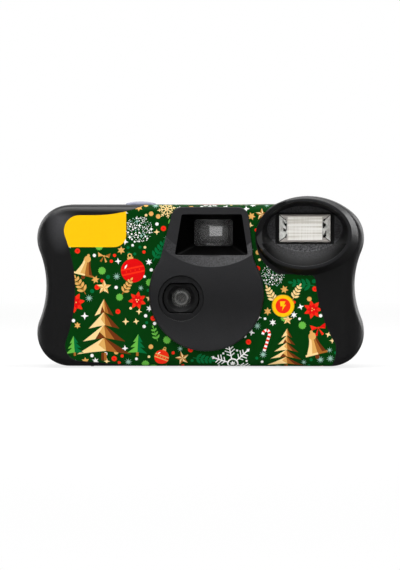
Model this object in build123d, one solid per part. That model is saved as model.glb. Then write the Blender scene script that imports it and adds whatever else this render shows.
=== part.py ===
from build123d import *
from functools import lru_cache
import math
import os

# A pocket-size single-use 35 mm film camera with a built-in flash, in millimetres.
# X runs to the right as the front is seen, Y from the front to the back, Z up.
# The origin is under the middle of the body, at the level of the lowest point.

# Body
body_width = 118.0
waist_dent = 3.4
body_depth = 34.0
foot_drop = 0.7
lobe_radius = 12.0
dome_rise = 3.1
dome_radius = 25.0
dome_blend_radius = 4.0
wall = 1.6
front_setback = 2.5
rear_cover_depth = 11.0
plan_margin = 2.0
plan_radius = 9.0
front_edge_radius = 2.6
back_edge_radius = 3.0
seam_groove_width = 0.3
seam_groove_depth = 0.45
overrun = 1.0
clearance = 0.3
running_fit = 0.06

# Lens panel on the front, a disc that grows into the viewfinder's hood
panel_proud = 2.1
panel_x = 2.3
panel_lift = 1.55
panel_radius = 20.6
hood_top_drop = 0.8
hood_top_left_x = -9.5
hood_top_right_x = 17.0
hood_foot_drop = 16.8
hood_foot_left_x = -13.5
hood_foot_right_x = 18.9
hood_root_lift = 4.75
hood_neck_radius = 10.0
hood_corner_radius = 4.0
panel_edge_radius = 0.5
scoop_x = 4.2
scoop_z = 62.5
scoop_radius = 26.0
scoop_floor_radius = 22.2
scoop_depth = 1.4

# Viewfinder funnel, window and eyepiece
funnel_low_drop = 18.1
funnel_high_drop = 3.3
funnel_low_left_x = -9.1
funnel_low_right_x = 17.3
funnel_high_left_x = -6.6
funnel_high_right_x = 15.1
funnel_depth = 5.0
funnel_corner_radius = 0.8
window_x = 4.75
window_drop = 10.0
window_width = 13.9
window_height = 9.6
window_corner_radius = 1.2
eyepiece_x = 5.4
eyepiece_drop = 9.5
eyepiece_width = 8.0
eyepiece_height = 6.0
eyepiece_flare = 1.6
tunnel_wall = 0.8
finder_lens_thickness = 1.8
finder_lens_hollow_radius = 16.0
eye_lens_thickness = 1.6
eye_lens_dome_radius = 18.0
finder_stop_thickness = 0.8
finder_stop_width = 10.4
finder_stop_height = 8.0
finder_stop_corner_radius = 3.4

# Taking lens
lens_x = -6.8
lens_radius = 4.2
lens_sight_radius = 3.35
lens_thickness = 1.5
lens_edge_thickness = 0.7
lens_ring_radius = 8.2
lens_ring_depth = 0.45
lens_well_radius = 6.7
lens_well_flat = 5.5
retainer_radius = 6.3
retainer_flat = 5.1
retainer_mouth_radius = 4.9
retainer_setback = 0.9
stop_radius = 1.5
stop_leg_radius = 0.7
stop_leg_angles = (-50, 0, 50)
stop_plate_thickness = 0.4
lens_setback = 2.6

# Flash: raised oval rim, bowl, window, reflector and tube
flash_side = 21.5
flash_drop = 10.3
flash_rim_half_width = 17.0
flash_rim_half_height = 12.8
flash_rim_width = 1.0
flash_rim_edge_radius = 0.35
boss_foot_shift = 1.0
boss_foot_drop = 11.2
boss_foot_half_width = 18.4
boss_foot_half_height = 14.0
bowl_floor_shift = 0.2
bowl_floor_drop = 8.6
bowl_floor_half_width = 13.6
bowl_floor_half_height = 8.2
bowl_depth = 5.0
bowl_wall = 1.2
flash_window_drop = 8.4
flash_window_width = 18.5
flash_window_height = 10.0
flash_window_thickness = 2.2
flash_window_frame = 1.2
flash_window_frame_depth = 0.7
flash_window_bevel = 0.9
flash_window_ribs = 9
flash_window_rib_height = 0.25
reflector_depth = 6.4
reflector_wall = 0.5
reflector_back_height = 4.6
reflector_flange = 0.8
flash_tube_radius = 1.5
flash_tube_overhang = 2.2

# Flash switch on the front
flash_button_x = 29.9
flash_button_z = 22.5
flash_button_radius = 4.0
flash_button_gap = 0.15
flash_button_flange = 0.7
flash_button_flange_thickness = 0.7
flash_button_travel = 0.8
flash_button_pin_radius = 1.2

# Shutter button on the top
button_x = -21.9
button_y = -1.5
button_radius = 5.45
button_gap = 0.35
button_rise = 1.2
button_crown = 0.75
button_skirt = 1.8
button_edge_radius = 0.45
button_wall = 1.2
button_travel = 1.5
button_stem_radius = 2.0
button_lug_reach = 1.1
button_lug_width = 3.0
button_lug_thickness = 0.8
button_lug_angles = (-90, 10)
button_spring_radius = 2.9
button_spring_wire = 0.5

# Film and its cassette
film_width = 35.0
film_thickness = 0.14
film_foot = 7.05
film_head_room = 16.05
film_plane_y = 12.3
gate_width = 36.0
gate_height = 24.0
perforation_pitch = 4.75
perforation_width = 1.98
perforation_height = 2.8
perforation_edge = 2.0
perforation_corner_radius = 0.5
cassette_side = 19.3
cassette_y = 1.2
cassette_radius = 12.1
cassette_overhang = 3.8
cassette_sheet = 0.3
cassette_cap_height = 1.6
cassette_cap_hub_radius = 6.0
cassette_lip_x = -27.3
cassette_lip_gap = 0.9
felt_thickness = 0.33
felt_length = 5.5
spool_core_radius = 5.8
spool_flange_radius = 11.3
spool_flange_thickness = 0.8
spool_hub_radius = 5.2
spool_bore_radius = 3.0
spool_pivot_radius = 1.35
spool_pivot_tip_radius = 0.5
spool_pivot_cone = 1.1
roll_x = 26.5
roll_radius = 9.0
roll_core_radius = 4.6
supply_spool_wall = 1.0
supply_spool_flange = 0.6
supply_spool_pin_radius = 1.5

# Advance wheel
wheel_inset = 2.0
wheel_low_drop = 7.8
wheel_thickness = 4.0
wheel_rim = 3.0
wheel_web = 1.4
wheel_hub_radius = 4.2
wheel_shaft_radius = 2.85
wheel_teeth = 72
wheel_tooth_depth = 0.45
thumb_scoop_depth = 3.2
thumb_scoop_outer_half_width = 14.0
thumb_scoop_inner_half_width = 11.0
thumb_scoop_ramp = 3.6
wheel_slot_gap = 0.35

# Sprocket wheel, counter and their drive
sprocket_x = -18.0
sprocket_teeth = 8
sprocket_thickness = 1.2
sprocket_tooth_height = 0.9
sprocket_tooth_width = 1.3
sprocket_shaft_radius = 1.2
sprocket_drum_radius = 3.0
pinion_radius = 2.3
pinion_tooth_height = 0.6
pinion_tooth_width = 0.9
counter_x = -6.0
counter_y = 4.0
counter_radius = 9.0
counter_low_drop = 4.5
counter_thickness = 0.8
counter_teeth = 40
counter_tooth_depth = 0.5
counter_pin_radius = 1.2
counter_pin_height = 0.6
counter_window_y = -2.6
counter_window_length = 5.2
counter_window_width = 3.6
counter_window_flange = 0.8

# Shutter and its levers
shutter_pivot_x = -13.8
shutter_pivot_lift = 5.75
shutter_thickness = 0.4
shutter_pad_radius = 2.4
shutter_eye_radius = 1.7
shutter_pin_radius = 0.8
shutter_pin_head_radius = 1.3
shutter_tab_width = 1.4
striker_y = -1.5
striker_x = -12.9
striker_low_drop = 17.6
striker_thickness = 1.4
striker_eye_radius = 2.2
striker_arm_width = 1.8
striker_post_radius = 1.1
striker_gap = 0.35
metering_x = -23.6
metering_y = 3.2
metering_low_drop = 14.4
metering_thickness = 1.2
metering_eye_radius = 2.0
metering_arm_width = 2.0
metering_reach_x = -15.5
metering_reach_y = 2.6
metering_post_radius = 1.0
lever_spring_wire = 0.45
lever_spring_turns_height = 1.2

# Frame that carries the works
frame_wall = 1.0
frame_foot = 5.05
chamber_gap = 0.35
chamber_open_y = 8.0
gate_plate_thickness = 1.0
gate_plate_foot = 2.75
gate_plate_head = 2.25
gate_plate_left_x = -26.6
gate_plate_right_x = 18.4
rail_height = 0.25
rail_width = 1.0
guide_height = 0.6
deck_low_drop = 10.4
deck_thickness = 1.2
box_front_width = 13.6
box_front_height = 13.6
box_front_thickness = 1.2
box_front_y = -10.0
box_plate_width = 18.4
box_plate_height = 17.4

# Flash electronics
board_left_x = 17.0
board_right_side = 6.0
board_low_z = 5.0
board_high_z = 35.6
board_y = -9.8
board_thickness = 1.2
switch_dome_radius = 2.4
switch_dome_height = 0.35
capacitor_radius = 6.75
capacitor_length = 30.0
capacitor_left_x = -22.0
capacitor_y = -5.5
capacitor_z = 9.6
capacitor_groove = 0.35
capacitor_lead_radius = 0.35
transformer_width = 8.4
transformer_height = 9.2
transformer_depth = 5.0
transformer_x = 42.6
transformer_z = 27.0
trigger_coil_radius = 1.7
trigger_coil_length = 9.0
trigger_coil_x = 19.6
trigger_coil_z = 29.0
transistor_width = 4.6
transistor_height = 4.8
transistor_depth = 3.4
transistor_x = 48.6
transistor_z = 12.5
resistor_radius = 0.95
resistor_length = 5.6
resistor_xs = (22.5, 25.5, 36.5, 39.5, 42.5)
resistor_z = 11.0
battery_side = 14.0
battery_y = 6.0
battery_radius = 7.25
battery_low_z = 5.0
battery_length = 49.2
battery_nub_radius = 2.75
battery_nub_height = 1.0
battery_shelf = 1.2
battery_shelf_half_width = 3.2
contact_thickness = 0.35
contact_width = 6.0
contact_spring_radius = 3.0
contact_spring_height = 1.0
lamp_x = 17.4
lamp_drop = 8.4
lamp_radius = 1.35
lamp_length = 4.6
lamp_lead_radius = 0.25
pipe_radius = 1.25
pipe_head_radius = 1.9
sync_strip_thickness = 0.25
sync_strip_width = 1.1
sync_strip_gap = 1.1
sync_strip_edge = 0.2

# Film door under the cassette, and its hinge
door_left_side = 7.0
door_front_y = -11.2
door_back_y = 13.6
door_gap = 0.2
door_hinge_x = -25.6
door_pin_radius = 0.5
door_pin_length = 0.9
door_boss_radius = 4.7
door_boss_height = 0.25
door_ring_radius = 8.0
door_ring_wall = 0.8
door_ring_height = 0.8

# Snap hooks and their windows at the sides
hook_zs = (24.7, 34.4)
hook_width = 2.8
hook_thickness = 0.7
hook_reach = 4.2
hook_root = 1.6
hook_barb = 1.0
hook_barb_length = 1.4
hook_window_gap = 0.35

# Printed label round the middle
label_thickness = 0.2
label_gap = 0.15
label_top_left_x = -20.5
label_top_right_x = 26.5
label_bottom_left_x = -24.1
label_bottom_right_side = 11.8
label_corner_radius = 5.5
label_small_radius = 2.6
label_foot_side = 8.4
label_foot_z = 3.2
label_waist_low_z = 11.4
label_waist_side = 14.0
label_waist_z = 28.2
label_shoulder_side = 7.8
label_shoulder_drop = 3.7
label_shelf_x = -37.5
label_rise_x = -28.9
label_rise_drop = 2.8
label_peak_drop = 0.4
label_flash_x = 20.0
label_flash_drop = 10.4
label_flash_foot_x = 28.3
label_flash_foot_lift = 8.65
label_step_side = 17.6
label_right_waist_side = 15.7
label_right_waist_z = 21.5
label_right_foot_side = 10.3
label_right_foot_z = 8.8
label_right_heel_side = 10.3
label_right_heel_z = 4.4
label_back_left_x = -22.6
label_back_step_z = 40.0
label_back_right_side = 12.6

# Levels and places that follow from the sizes above
base_z = foot_drop
film_low_z = base_z + film_foot
film_high_z = film_low_z + film_width
film_centre_z = (film_low_z + film_high_z) / 2
top_z = film_high_z + film_head_room
left_x = -body_width / 2
right_x = body_width / 2
front_y = -body_depth / 2 + front_setback
back_y = body_depth / 2
seam_y = back_y - rear_cover_depth
hood_top_z = top_z - hood_top_drop
hood_foot_z = top_z - hood_foot_drop
funnel_low_z = top_z - funnel_low_drop
funnel_high_z = top_z - funnel_high_drop
window_z = top_z - window_drop
eyepiece_z = top_z - eyepiece_drop
flash_z = top_z - flash_drop
boss_foot_z = top_z - boss_foot_drop
bowl_floor_z = top_z - bowl_floor_drop
flash_window_z = top_z - flash_window_drop
wheel_low_z = top_z - wheel_low_drop
counter_low_z = top_z - counter_low_drop
deck_low_z = top_z - deck_low_drop
lamp_z = top_z - lamp_drop
striker_low_z = top_z - striker_low_drop
metering_low_z = top_z - metering_low_drop
label_shoulder_z = top_z - label_shoulder_drop
label_rise_z = top_z - label_rise_drop
label_peak_z = top_z - label_peak_drop
label_flash_z = top_z - label_flash_drop
panel_z = film_centre_z + panel_lift
hood_root_z = film_centre_z + hood_root_lift
shutter_pivot_z = film_centre_z + shutter_pivot_lift
label_flash_foot_z = film_centre_z + label_flash_foot_lift
lens_z = film_centre_z
battery_x = right_x - battery_side
board_right_x = right_x - board_right_side
flash_x = right_x - flash_side
label_right_foot_x = right_x - label_right_foot_side
label_right_heel_x = right_x - label_right_heel_side
label_bottom_right_x = right_x - label_bottom_right_side
label_step_x = right_x - label_step_side
label_right_waist_x = right_x - label_right_waist_side
label_back_right_x = right_x - label_back_right_side
cassette_x = left_x + cassette_side
door_left_x = left_x + door_left_side
label_foot_x = left_x + label_foot_side
label_waist_x = left_x + label_waist_side
label_shoulder_x = left_x + label_shoulder_side
boss_foot_x = flash_x + boss_foot_shift
bowl_floor_x = flash_x + bowl_floor_shift
flash_window_x = bowl_floor_x
gate_plate_low_z = film_low_z - gate_plate_foot
gate_plate_high_z = film_high_z + gate_plate_head
frame_low_z = film_low_z - frame_foot
wheel_radius = back_y - wheel_inset - cassette_y
inner_front_y = front_y + wall
inner_back_y = back_y - wall
inner_top_z = top_z - wall
inner_base_z = base_z + wall
panel_y = front_y - panel_proud
hood_y = panel_y + scoop_depth
rim_y = -body_depth / 2
bowl_y = rim_y + bowl_depth
funnel_end_y = hood_y + funnel_depth
low_lobe_z = base_z + lobe_radius
high_lobe_z = top_z - lobe_radius
middle_z = (low_lobe_z + high_lobe_z) / 2
lobe_x = right_x - lobe_radius
waist_reach = lobe_radius - waist_dent
waist_rise = (high_lobe_z - low_lobe_z) / 2
waist_radius = (waist_reach**2 + waist_rise**2 - lobe_radius**2) / (2 * waist_dent)
waist_x = right_x - waist_dent + waist_radius
dome_high_z = top_z + dome_rise
dome_height = dome_high_z - high_lobe_z
dome_shift = math.sqrt((dome_height - lobe_radius) * (2 * dome_radius - lobe_radius - dome_height))
dome_x = lobe_x - dome_shift
dome_z = dome_high_z - dome_radius
dome_blend_z = top_z + dome_blend_radius
dome_blend_reach = dome_radius + dome_blend_radius
dome_blend_x = dome_x - math.sqrt(dome_blend_reach**2 - (dome_blend_z - dome_z)**2)
cassette_low_z = film_low_z - cassette_overhang
cassette_high_z = film_high_z + cassette_overhang
cassette_cap_radius = cassette_radius + cassette_sheet
chamber_radius = cassette_cap_radius + chamber_gap
roll_y = film_plane_y - roll_radius
roll_chamber_radius = roll_radius + chamber_gap
sprocket_radius = sprocket_teeth * perforation_pitch / (2 * math.pi)
sprocket_y = film_plane_y - sprocket_radius
sprocket_z = film_high_z - perforation_edge - perforation_height / 2
wheel_high_z = wheel_low_z + wheel_thickness
deck_high_z = deck_low_z + deck_thickness
counter_high_z = counter_low_z + counter_thickness
gate_plate_y = film_plane_y - rail_height
lens_y = panel_y + lens_setback
scoop_floor_y = back_y - thumb_scoop_depth
door_hinge_z = base_z + wall / 2
label_waist_high_z = 2 * label_waist_z - label_waist_low_z


# Plain shapes, placed by their limits

def flat(sketch, y):
    """The sketch stood upright in the plane at y, its own x and y along X and Z."""
    return Plane.XZ.offset(-y) * sketch


def slab(sketch, near_y, far_y):
    """The sketch stood upright and made solid from near_y back to far_y."""
    return extrude(flat(sketch, near_y), amount=far_y - near_y, dir=(0, 1, 0))


def block(x0, x1, y0, y1, z0, z1):
    """A box between two corners."""
    box = Box(x1 - x0, y1 - y0, z1 - z0, align=(Align.MIN, Align.MIN, Align.MIN))
    return Pos(x0, y0, z0) * box


def post(x, y, z0, z1, radius):
    """An upright cylinder from z0 up to z1."""
    return Pos(x, y, z0) * Cylinder(radius, z1 - z0, align=(Align.CENTER, Align.CENTER, Align.MIN))


def peg(x, z, y0, y1, radius):
    """A cylinder along Y from y0 back to y1."""
    return slab(Pos(x, z) * Circle(radius), y0, y1)


def rod(y, z, x0, x1, radius):
    """A cylinder along X from x0 to x1."""
    return extrude(Plane.YZ.offset(x0) * (Pos(y, z) * Circle(radius)), amount=x1 - x0, dir=(1, 0, 0))


def taper(front, front_at, back, back_at):
    """A solid that runs straight from the front sketch to the back sketch."""
    return loft([flat(front, front_at), flat(back, back_at)], ruled=True)


def plate(x, z, width, height, radius=0):
    """An upright rectangle about a centre, with rounded corners if a radius is given."""
    shape = RectangleRounded(width, height, radius) if radius else Rectangle(width, height)
    return Pos(x, z) * shape


def oval(x, z, half_width, half_height):
    """An upright ellipse about a centre."""
    return Pos(x, z) * Ellipse(half_width, half_height)


def arc_about(centre, start, end, radius):
    """The shorter arc about a centre from start to end."""
    middle = ((start - centre) + (end - centre)).normalized() * radius + centre
    return ThreePointArc(start, middle, end)


def toward(centre, target, distance):
    """The point at a distance from the centre on the way to the target."""
    return centre + (target - centre).normalized() * distance


# Body outline and its forms

def outline(inset=0):
    """The front view of the body: two waisted sides, a flat base, a flat top and the flash dome."""
    low = Vector(lobe_x, low_lobe_z)
    high = Vector(lobe_x, high_lobe_z)
    waist = Vector(waist_x, middle_z)
    dome = Vector(dome_x, dome_z)
    blend = Vector(dome_blend_x, dome_blend_z)
    mirror_low = Vector(-lobe_x, low_lobe_z)
    mirror_high = Vector(-lobe_x, high_lobe_z)
    mirror_waist = Vector(-waist_x, middle_z)
    lobe = lobe_radius - inset
    hollow = waist_radius + inset
    crown = dome_radius - inset
    right_low = toward(low, waist, lobe)
    right_high = toward(high, waist, lobe)
    dome_right = toward(dome, high, crown)
    dome_left = toward(dome, blend, crown)
    top_right = Vector(dome_blend_x, top_z - inset)
    top_left = Vector(-lobe_x, top_z - inset)
    left_high = Vector(-right_high.X, right_high.Y)
    left_low = Vector(-right_low.X, right_low.Y)
    base_left = Vector(-lobe_x, base_z + inset)
    base_right = Vector(lobe_x, base_z + inset)
    edges = [
        Line(base_left, base_right),
        arc_about(low, base_right, right_low, lobe),
        arc_about(waist, right_low, right_high, hollow),
        arc_about(high, right_high, dome_right, lobe),
        arc_about(dome, dome_right, dome_left, crown),
        arc_about(blend, dome_left, top_right, dome_blend_radius + inset),
        Line(top_right, top_left),
        arc_about(mirror_high, top_left, left_high, lobe),
        arc_about(mirror_waist, left_high, left_low, hollow),
        arc_about(mirror_low, left_low, base_left, lobe),
    ]
    return make_face(edges)


def plan(inset, near_y, far_y):
    """The view from above: straight sides and back, and two round corners at near_y."""
    half = body_width / 2 + plan_margin - inset
    corners = [(-half, far_y), (-half, near_y), (half, near_y), (half, far_y)]
    path = FilletPolyline(*corners, radius=plan_radius - inset)
    face = make_face([*path.edges(), Line(corners[-1], corners[0])])
    return extrude(face, amount=dome_high_z + overrun)


def rounded_end(solid, end_is_front, radius):
    """The solid with every edge of its closed end rounded."""
    edges = []
    for edge in solid.edges():
        box = edge.bounding_box()
        upright = box.size.X < clearance and box.size.Y < clearance
        at_seam = box.max.Y > seam_y - clearance if end_is_front else box.min.Y < seam_y + clearance
        if not upright and not at_seam:
            edges.append(edge)
    return fillet(edges, radius)


@lru_cache(maxsize=None)
def front_form(inset=0):
    """The body's outer shape in front of the seam, drawn in by inset."""
    near = front_y + inset
    solid = slab(outline(inset), near, seam_y) & plan(inset, near, seam_y + overrun)
    return rounded_end(solid, True, front_edge_radius - inset)


@lru_cache(maxsize=None)
def rear_form(inset=0):
    """The body's outer shape behind the seam, drawn in by inset."""
    solid = slab(outline(inset), seam_y, back_y - inset)
    return rounded_end(solid, False, back_edge_radius - inset)


def seam_groove():
    """A shallow groove all round the body at the joint between the covers."""
    half = seam_groove_width / 2
    outer = slab(outline(-overrun), seam_y - half, seam_y + half)
    return outer - slab(outline(seam_groove_depth), seam_y - half, seam_y + half)


# Lens panel, hood and funnel

def panel_outline(inset=0):
    """A disc joined by two hollow necks to the hood over it."""
    stretch = (hood_top_z - hood_root_z) / (hood_top_z - hood_foot_z)
    hood = make_face(Polyline(
        (hood_top_left_x, hood_top_z),
        (hood_top_left_x + stretch * (hood_foot_left_x - hood_top_left_x), hood_root_z),
        (hood_top_right_x + stretch * (hood_foot_right_x - hood_top_right_x), hood_root_z),
        (hood_top_right_x, hood_top_z),
        close=True,
    ))
    shape = hood + Pos(panel_x, panel_z) * Circle(panel_radius)
    necks = [v for v in shape.vertices() if panel_z < v.Y < hood_foot_z - clearance]
    shape = fillet(necks, hood_neck_radius)
    corners = [v for v in shape.vertices() if v.Y > hood_top_z - clearance]
    shape = fillet(corners, hood_corner_radius)
    return offset(shape, amount=-inset, kind=Kind.INTERSECTION) if inset else shape


def panel_solid():
    """The raised panel, with its front edge eased."""
    solid = slab(panel_outline(), panel_y, inner_front_y)
    rim = [e for e in solid.edges() if e.bounding_box().max.Y < panel_y + clearance]
    return fillet(rim, panel_edge_radius)


def panel_hollow():
    """The space behind the panel's disc, below the scoop."""
    roof_z = scoop_z - scoop_radius - wall
    disc = Pos(panel_x, panel_z) * Circle(panel_radius - wall)
    half = panel_radius + overrun
    lower = Pos(panel_x, roof_z - half) * Rectangle(2 * half, 2 * half)
    return slab(disc & lower, panel_y + wall, inner_front_y + clearance)


def scoop():
    """The cone that drops the panel's face round the funnel and leaves a crescent below it."""
    slope = (scoop_radius - scoop_floor_radius) / scoop_depth
    outer = Pos(scoop_x, scoop_z) * Circle(scoop_radius + slope * overrun)
    inner = Pos(scoop_x, scoop_z) * Circle(scoop_floor_radius)
    return taper(outer, panel_y - overrun, inner, hood_y)


def funnel_mouth(grow=0):
    """The funnel's opening at the hood's face, wider at the foot."""
    shape = make_face(Polyline(
        (funnel_low_left_x, funnel_low_z),
        (funnel_low_right_x, funnel_low_z),
        (funnel_high_right_x, funnel_high_z),
        (funnel_high_left_x, funnel_high_z),
        close=True,
    ))
    if grow:
        shape = offset(shape, amount=grow, kind=Kind.INTERSECTION)
    return fillet(shape.vertices(), funnel_corner_radius + grow)


def funnel_space():
    """The black four-sided funnel down to the viewfinder's window."""
    end = plate(window_x, window_z, window_width, window_height, window_corner_radius)
    throat = taper(funnel_mouth(), hood_y, end, funnel_end_y)
    mouth = slab(funnel_mouth(), panel_y - overrun, hood_y)
    return throat + mouth + slab(end, funnel_end_y, funnel_end_y + overrun)


def funnel_solid():
    """The funnel's walls behind the hood, before the space is cut."""
    wide = window_width + 2 * tunnel_wall
    high = window_height + 2 * tunnel_wall
    end = plate(window_x, window_z, wide, high, window_corner_radius + tunnel_wall)
    return taper(funnel_mouth(tunnel_wall), hood_y + wall / 2, end, funnel_end_y)


# Taking lens well

def flat_sided(radius, flat_half):
    """A circle about the lens axis with its top and bottom cut flat."""
    disc = Circle(radius) & Rectangle(2 * radius, 2 * flat_half)
    return Pos(lens_x, lens_z) * disc


def lens_well():
    """The round step and the flat-sided hole in front of the lens."""
    step = peg(lens_x, lens_z, panel_y - overrun, panel_y + lens_ring_depth, lens_ring_radius)
    hole = slab(flat_sided(lens_well_radius, lens_well_flat), panel_y - overrun, inner_front_y + overrun)
    return step + hole


# Flash boss, bowl and window

def flash_boss():
    """The oval boss that rises from the front to the flash's rim, kept inside the body's outline."""
    rim = oval(flash_x, flash_z, flash_rim_half_width, flash_rim_half_height)
    foot = oval(boss_foot_x, boss_foot_z, boss_foot_half_width, boss_foot_half_height)
    solid = taper(rim, rim_y, foot, front_y) + slab(foot, front_y, inner_front_y + clearance)
    solid = solid & slab(outline(), rim_y - overrun, seam_y)
    edge = [e for e in solid.edges() if e.bounding_box().max.Y < rim_y + clearance]
    return fillet(edge, flash_rim_edge_radius)


def bowl(grow, near_y, far_y):
    """The flash's bowl from the rim down to its floor, made larger by grow."""
    mouth = oval(
        flash_x, flash_z,
        flash_rim_half_width - flash_rim_width + grow, flash_rim_half_height - flash_rim_width + grow,
    )
    floor = oval(bowl_floor_x, bowl_floor_z, bowl_floor_half_width + grow, bowl_floor_half_height + grow)
    return taper(mouth, near_y, floor, far_y)


def flash_window_hole():
    """The framed hole in the bowl's floor for the flash window."""
    wide = flash_window_width + 2 * flash_window_frame
    high = flash_window_height + 2 * flash_window_frame / 2
    frame = plate(flash_window_x, flash_window_z, wide, high, flash_window_frame)
    hole = plate(flash_window_x, flash_window_z, flash_window_width, flash_window_height)
    step = slab(frame, bowl_y - overrun, bowl_y + flash_window_frame_depth)
    return step + slab(hole, bowl_y, bowl_y + bowl_wall + overrun)


def make_flash_window():
    """The clear window: a bevelled block with fine ribs across its face and a flange behind."""
    front = bowl_y - flash_window_bevel
    back = front + flash_window_thickness
    gap = running_fit
    width = flash_window_width - 2 * gap
    height = flash_window_height - 2 * gap
    body = slab(plate(flash_window_x, flash_window_z, width, height), front, back)
    face_edges = [e for e in body.edges() if e.bounding_box().max.Y < front + clearance]
    body = chamfer(face_edges, flash_window_bevel)
    pitch = (height - 4 * flash_window_bevel) / flash_window_ribs
    rib_width = width - 4 * flash_window_bevel
    for index in range(flash_window_ribs):
        z = flash_window_z + (index - (flash_window_ribs - 1) / 2) * pitch
        rib = plate(flash_window_x, z, rib_width, pitch / 2)
        body += slab(rib, front - flash_window_rib_height, front + flash_window_rib_height)
    floor_back = bowl_y + bowl_wall
    stem = plate(flash_window_x, flash_window_z, width, height)
    flange = plate(
        flash_window_x, flash_window_z, width + 2 * reflector_flange, height + 2 * reflector_flange
    )
    body += slab(stem, back, floor_back)
    return body + slab(flange, floor_back, floor_back + reflector_flange)


def make_flash_reflector():
    """The bright trough behind the window, open in front, with holes for the tube in its ends."""
    near = bowl_y + bowl_wall + reflector_flange
    far = near + reflector_depth
    width = flash_window_width
    height = flash_window_height
    thick = 2 * reflector_wall
    mouth = plate(flash_window_x, flash_window_z, width, height)
    back = plate(flash_window_x, flash_window_z, width, reflector_back_height)
    outer_mouth = plate(flash_window_x, flash_window_z, width + thick, height + thick)
    outer_back = plate(flash_window_x, flash_window_z, width + thick, reflector_back_height + thick)
    shell = taper(outer_mouth, near, outer_back, far)
    shell -= taper(mouth, near, back, far - reflector_wall)
    tube = flash_tube_line()
    hole = flash_tube_radius + running_fit
    end = width / 2 + thick
    return shell - rod(tube[0], tube[1], flash_window_x - end, flash_window_x + end, hole)


def flash_tube_line():
    """Y and Z of the flash tube's axis."""
    near = bowl_y + bowl_wall + reflector_flange
    return near + reflector_depth - reflector_back_height / 2, flash_window_z


def make_flash_tube():
    """The glass tube through the reflector with a metal cap on each end."""
    y, z = flash_tube_line()
    half = flash_window_width / 2 + flash_tube_overhang
    glass = rod(y, z, flash_window_x - half, flash_window_x + half, flash_tube_radius)
    for side in (-1, 1):
        end = flash_window_x + side * half
        tip = end + side * overrun
        wire = rod(y, z, min(end, tip), max(end, tip), capacitor_lead_radius)
        glass += wire
    return glass


# Snap hooks between the covers

def side_x(z):
    """Half the body's width at height z within the waist."""
    return waist_x - math.sqrt(waist_radius**2 - (z - middle_z)**2)


def hooks():
    """Four tongues on the front cover, each with a barb that stands in a window."""
    tongues = Part()
    for z in hook_zs:
        inside = side_x(z) - wall - clearance
        for side in (-1, 1):
            low = z - hook_width / 2
            high = z + hook_width / 2
            edges = sorted((side * (inside - hook_thickness), side * inside))
            root = sorted((side * (inside - hook_thickness), side * (inside + wall / 2)))
            barb = sorted((side * (inside - hook_thickness), side * (inside + hook_barb)))
            tip = seam_y + hook_reach
            tongues += block(edges[0], edges[1], seam_y - hook_root, tip, low, high)
            tongues += block(root[0], root[1], seam_y - hook_root, seam_y - overrun, low, high)
            tongues += block(barb[0], barb[1], tip - hook_barb_length, tip, low, high)
    return tongues


def hook_windows():
    """The four windows in the rear cover's sides."""
    openings = Part()
    tip = seam_y + hook_reach
    for z in hook_zs:
        low = z - hook_width / 2 - hook_window_gap
        high = z + hook_width / 2 + hook_window_gap
        near = tip - hook_barb_length - hook_window_gap
        for side in (-1, 1):
            edges = sorted((side * (side_x(z) - wall - overrun), side * (side_x(z) + overrun)))
            openings += block(edges[0], edges[1], near, tip + hook_window_gap, low, high)
    return openings


# Film door

def door_space(grow=0):
    """The opening in the base, made larger by grow."""
    right = door_hinge_x + wall / 2 + grow
    return block(
        door_left_x - grow, right, door_front_y - grow, door_back_y + grow,
        base_z - overrun, inner_base_z + lobe_radius / 2,
    )


def body_skin():
    """The whole body's wall, with no seam, for the pieces that share its surface."""
    outer = front_form() + rear_form()
    return outer - (slab(outline(wall), inner_front_y, inner_back_y) & plan(wall, inner_front_y, back_y))


def make_film_door():
    """The hatch under the cassette, with a round knuckle, pins, a boss and a locating ring."""
    plate_space = block(
        door_left_x, door_hinge_x, door_front_y, door_back_y, base_z - overrun, inner_base_z + lobe_radius / 2
    )
    door = body_skin() & plate_space
    door += peg(door_hinge_x, door_hinge_z, door_front_y, door_back_y, wall / 2)
    door += peg(
        door_hinge_x, door_hinge_z,
        door_front_y - door_pin_length, door_back_y + door_pin_length, door_pin_radius,
    )
    door += post(cassette_x, cassette_y, base_z - door_boss_height, inner_base_z, door_boss_radius)
    ring_high = cassette_low_z - clearance
    ring = post(cassette_x, cassette_y, inner_base_z - wall / 2, ring_high, door_ring_radius)
    bore = door_ring_radius - door_ring_wall
    ring -= post(cassette_x, cassette_y, inner_base_z - wall / 2, ring_high, bore)
    door += ring
    hole = spool_pivot_radius + 2 * clearance
    return door - post(cassette_x, cassette_y, base_z - overrun, inner_base_z + overrun, hole)


def door_pin_holes():
    """The two blind holes that the door's pins turn in."""
    radius = door_pin_radius + running_fit
    reach = door_pin_length + running_fit
    return peg(door_hinge_x, door_hinge_z, door_front_y - reach, door_back_y + reach, radius)


# Label round the middle

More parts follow.
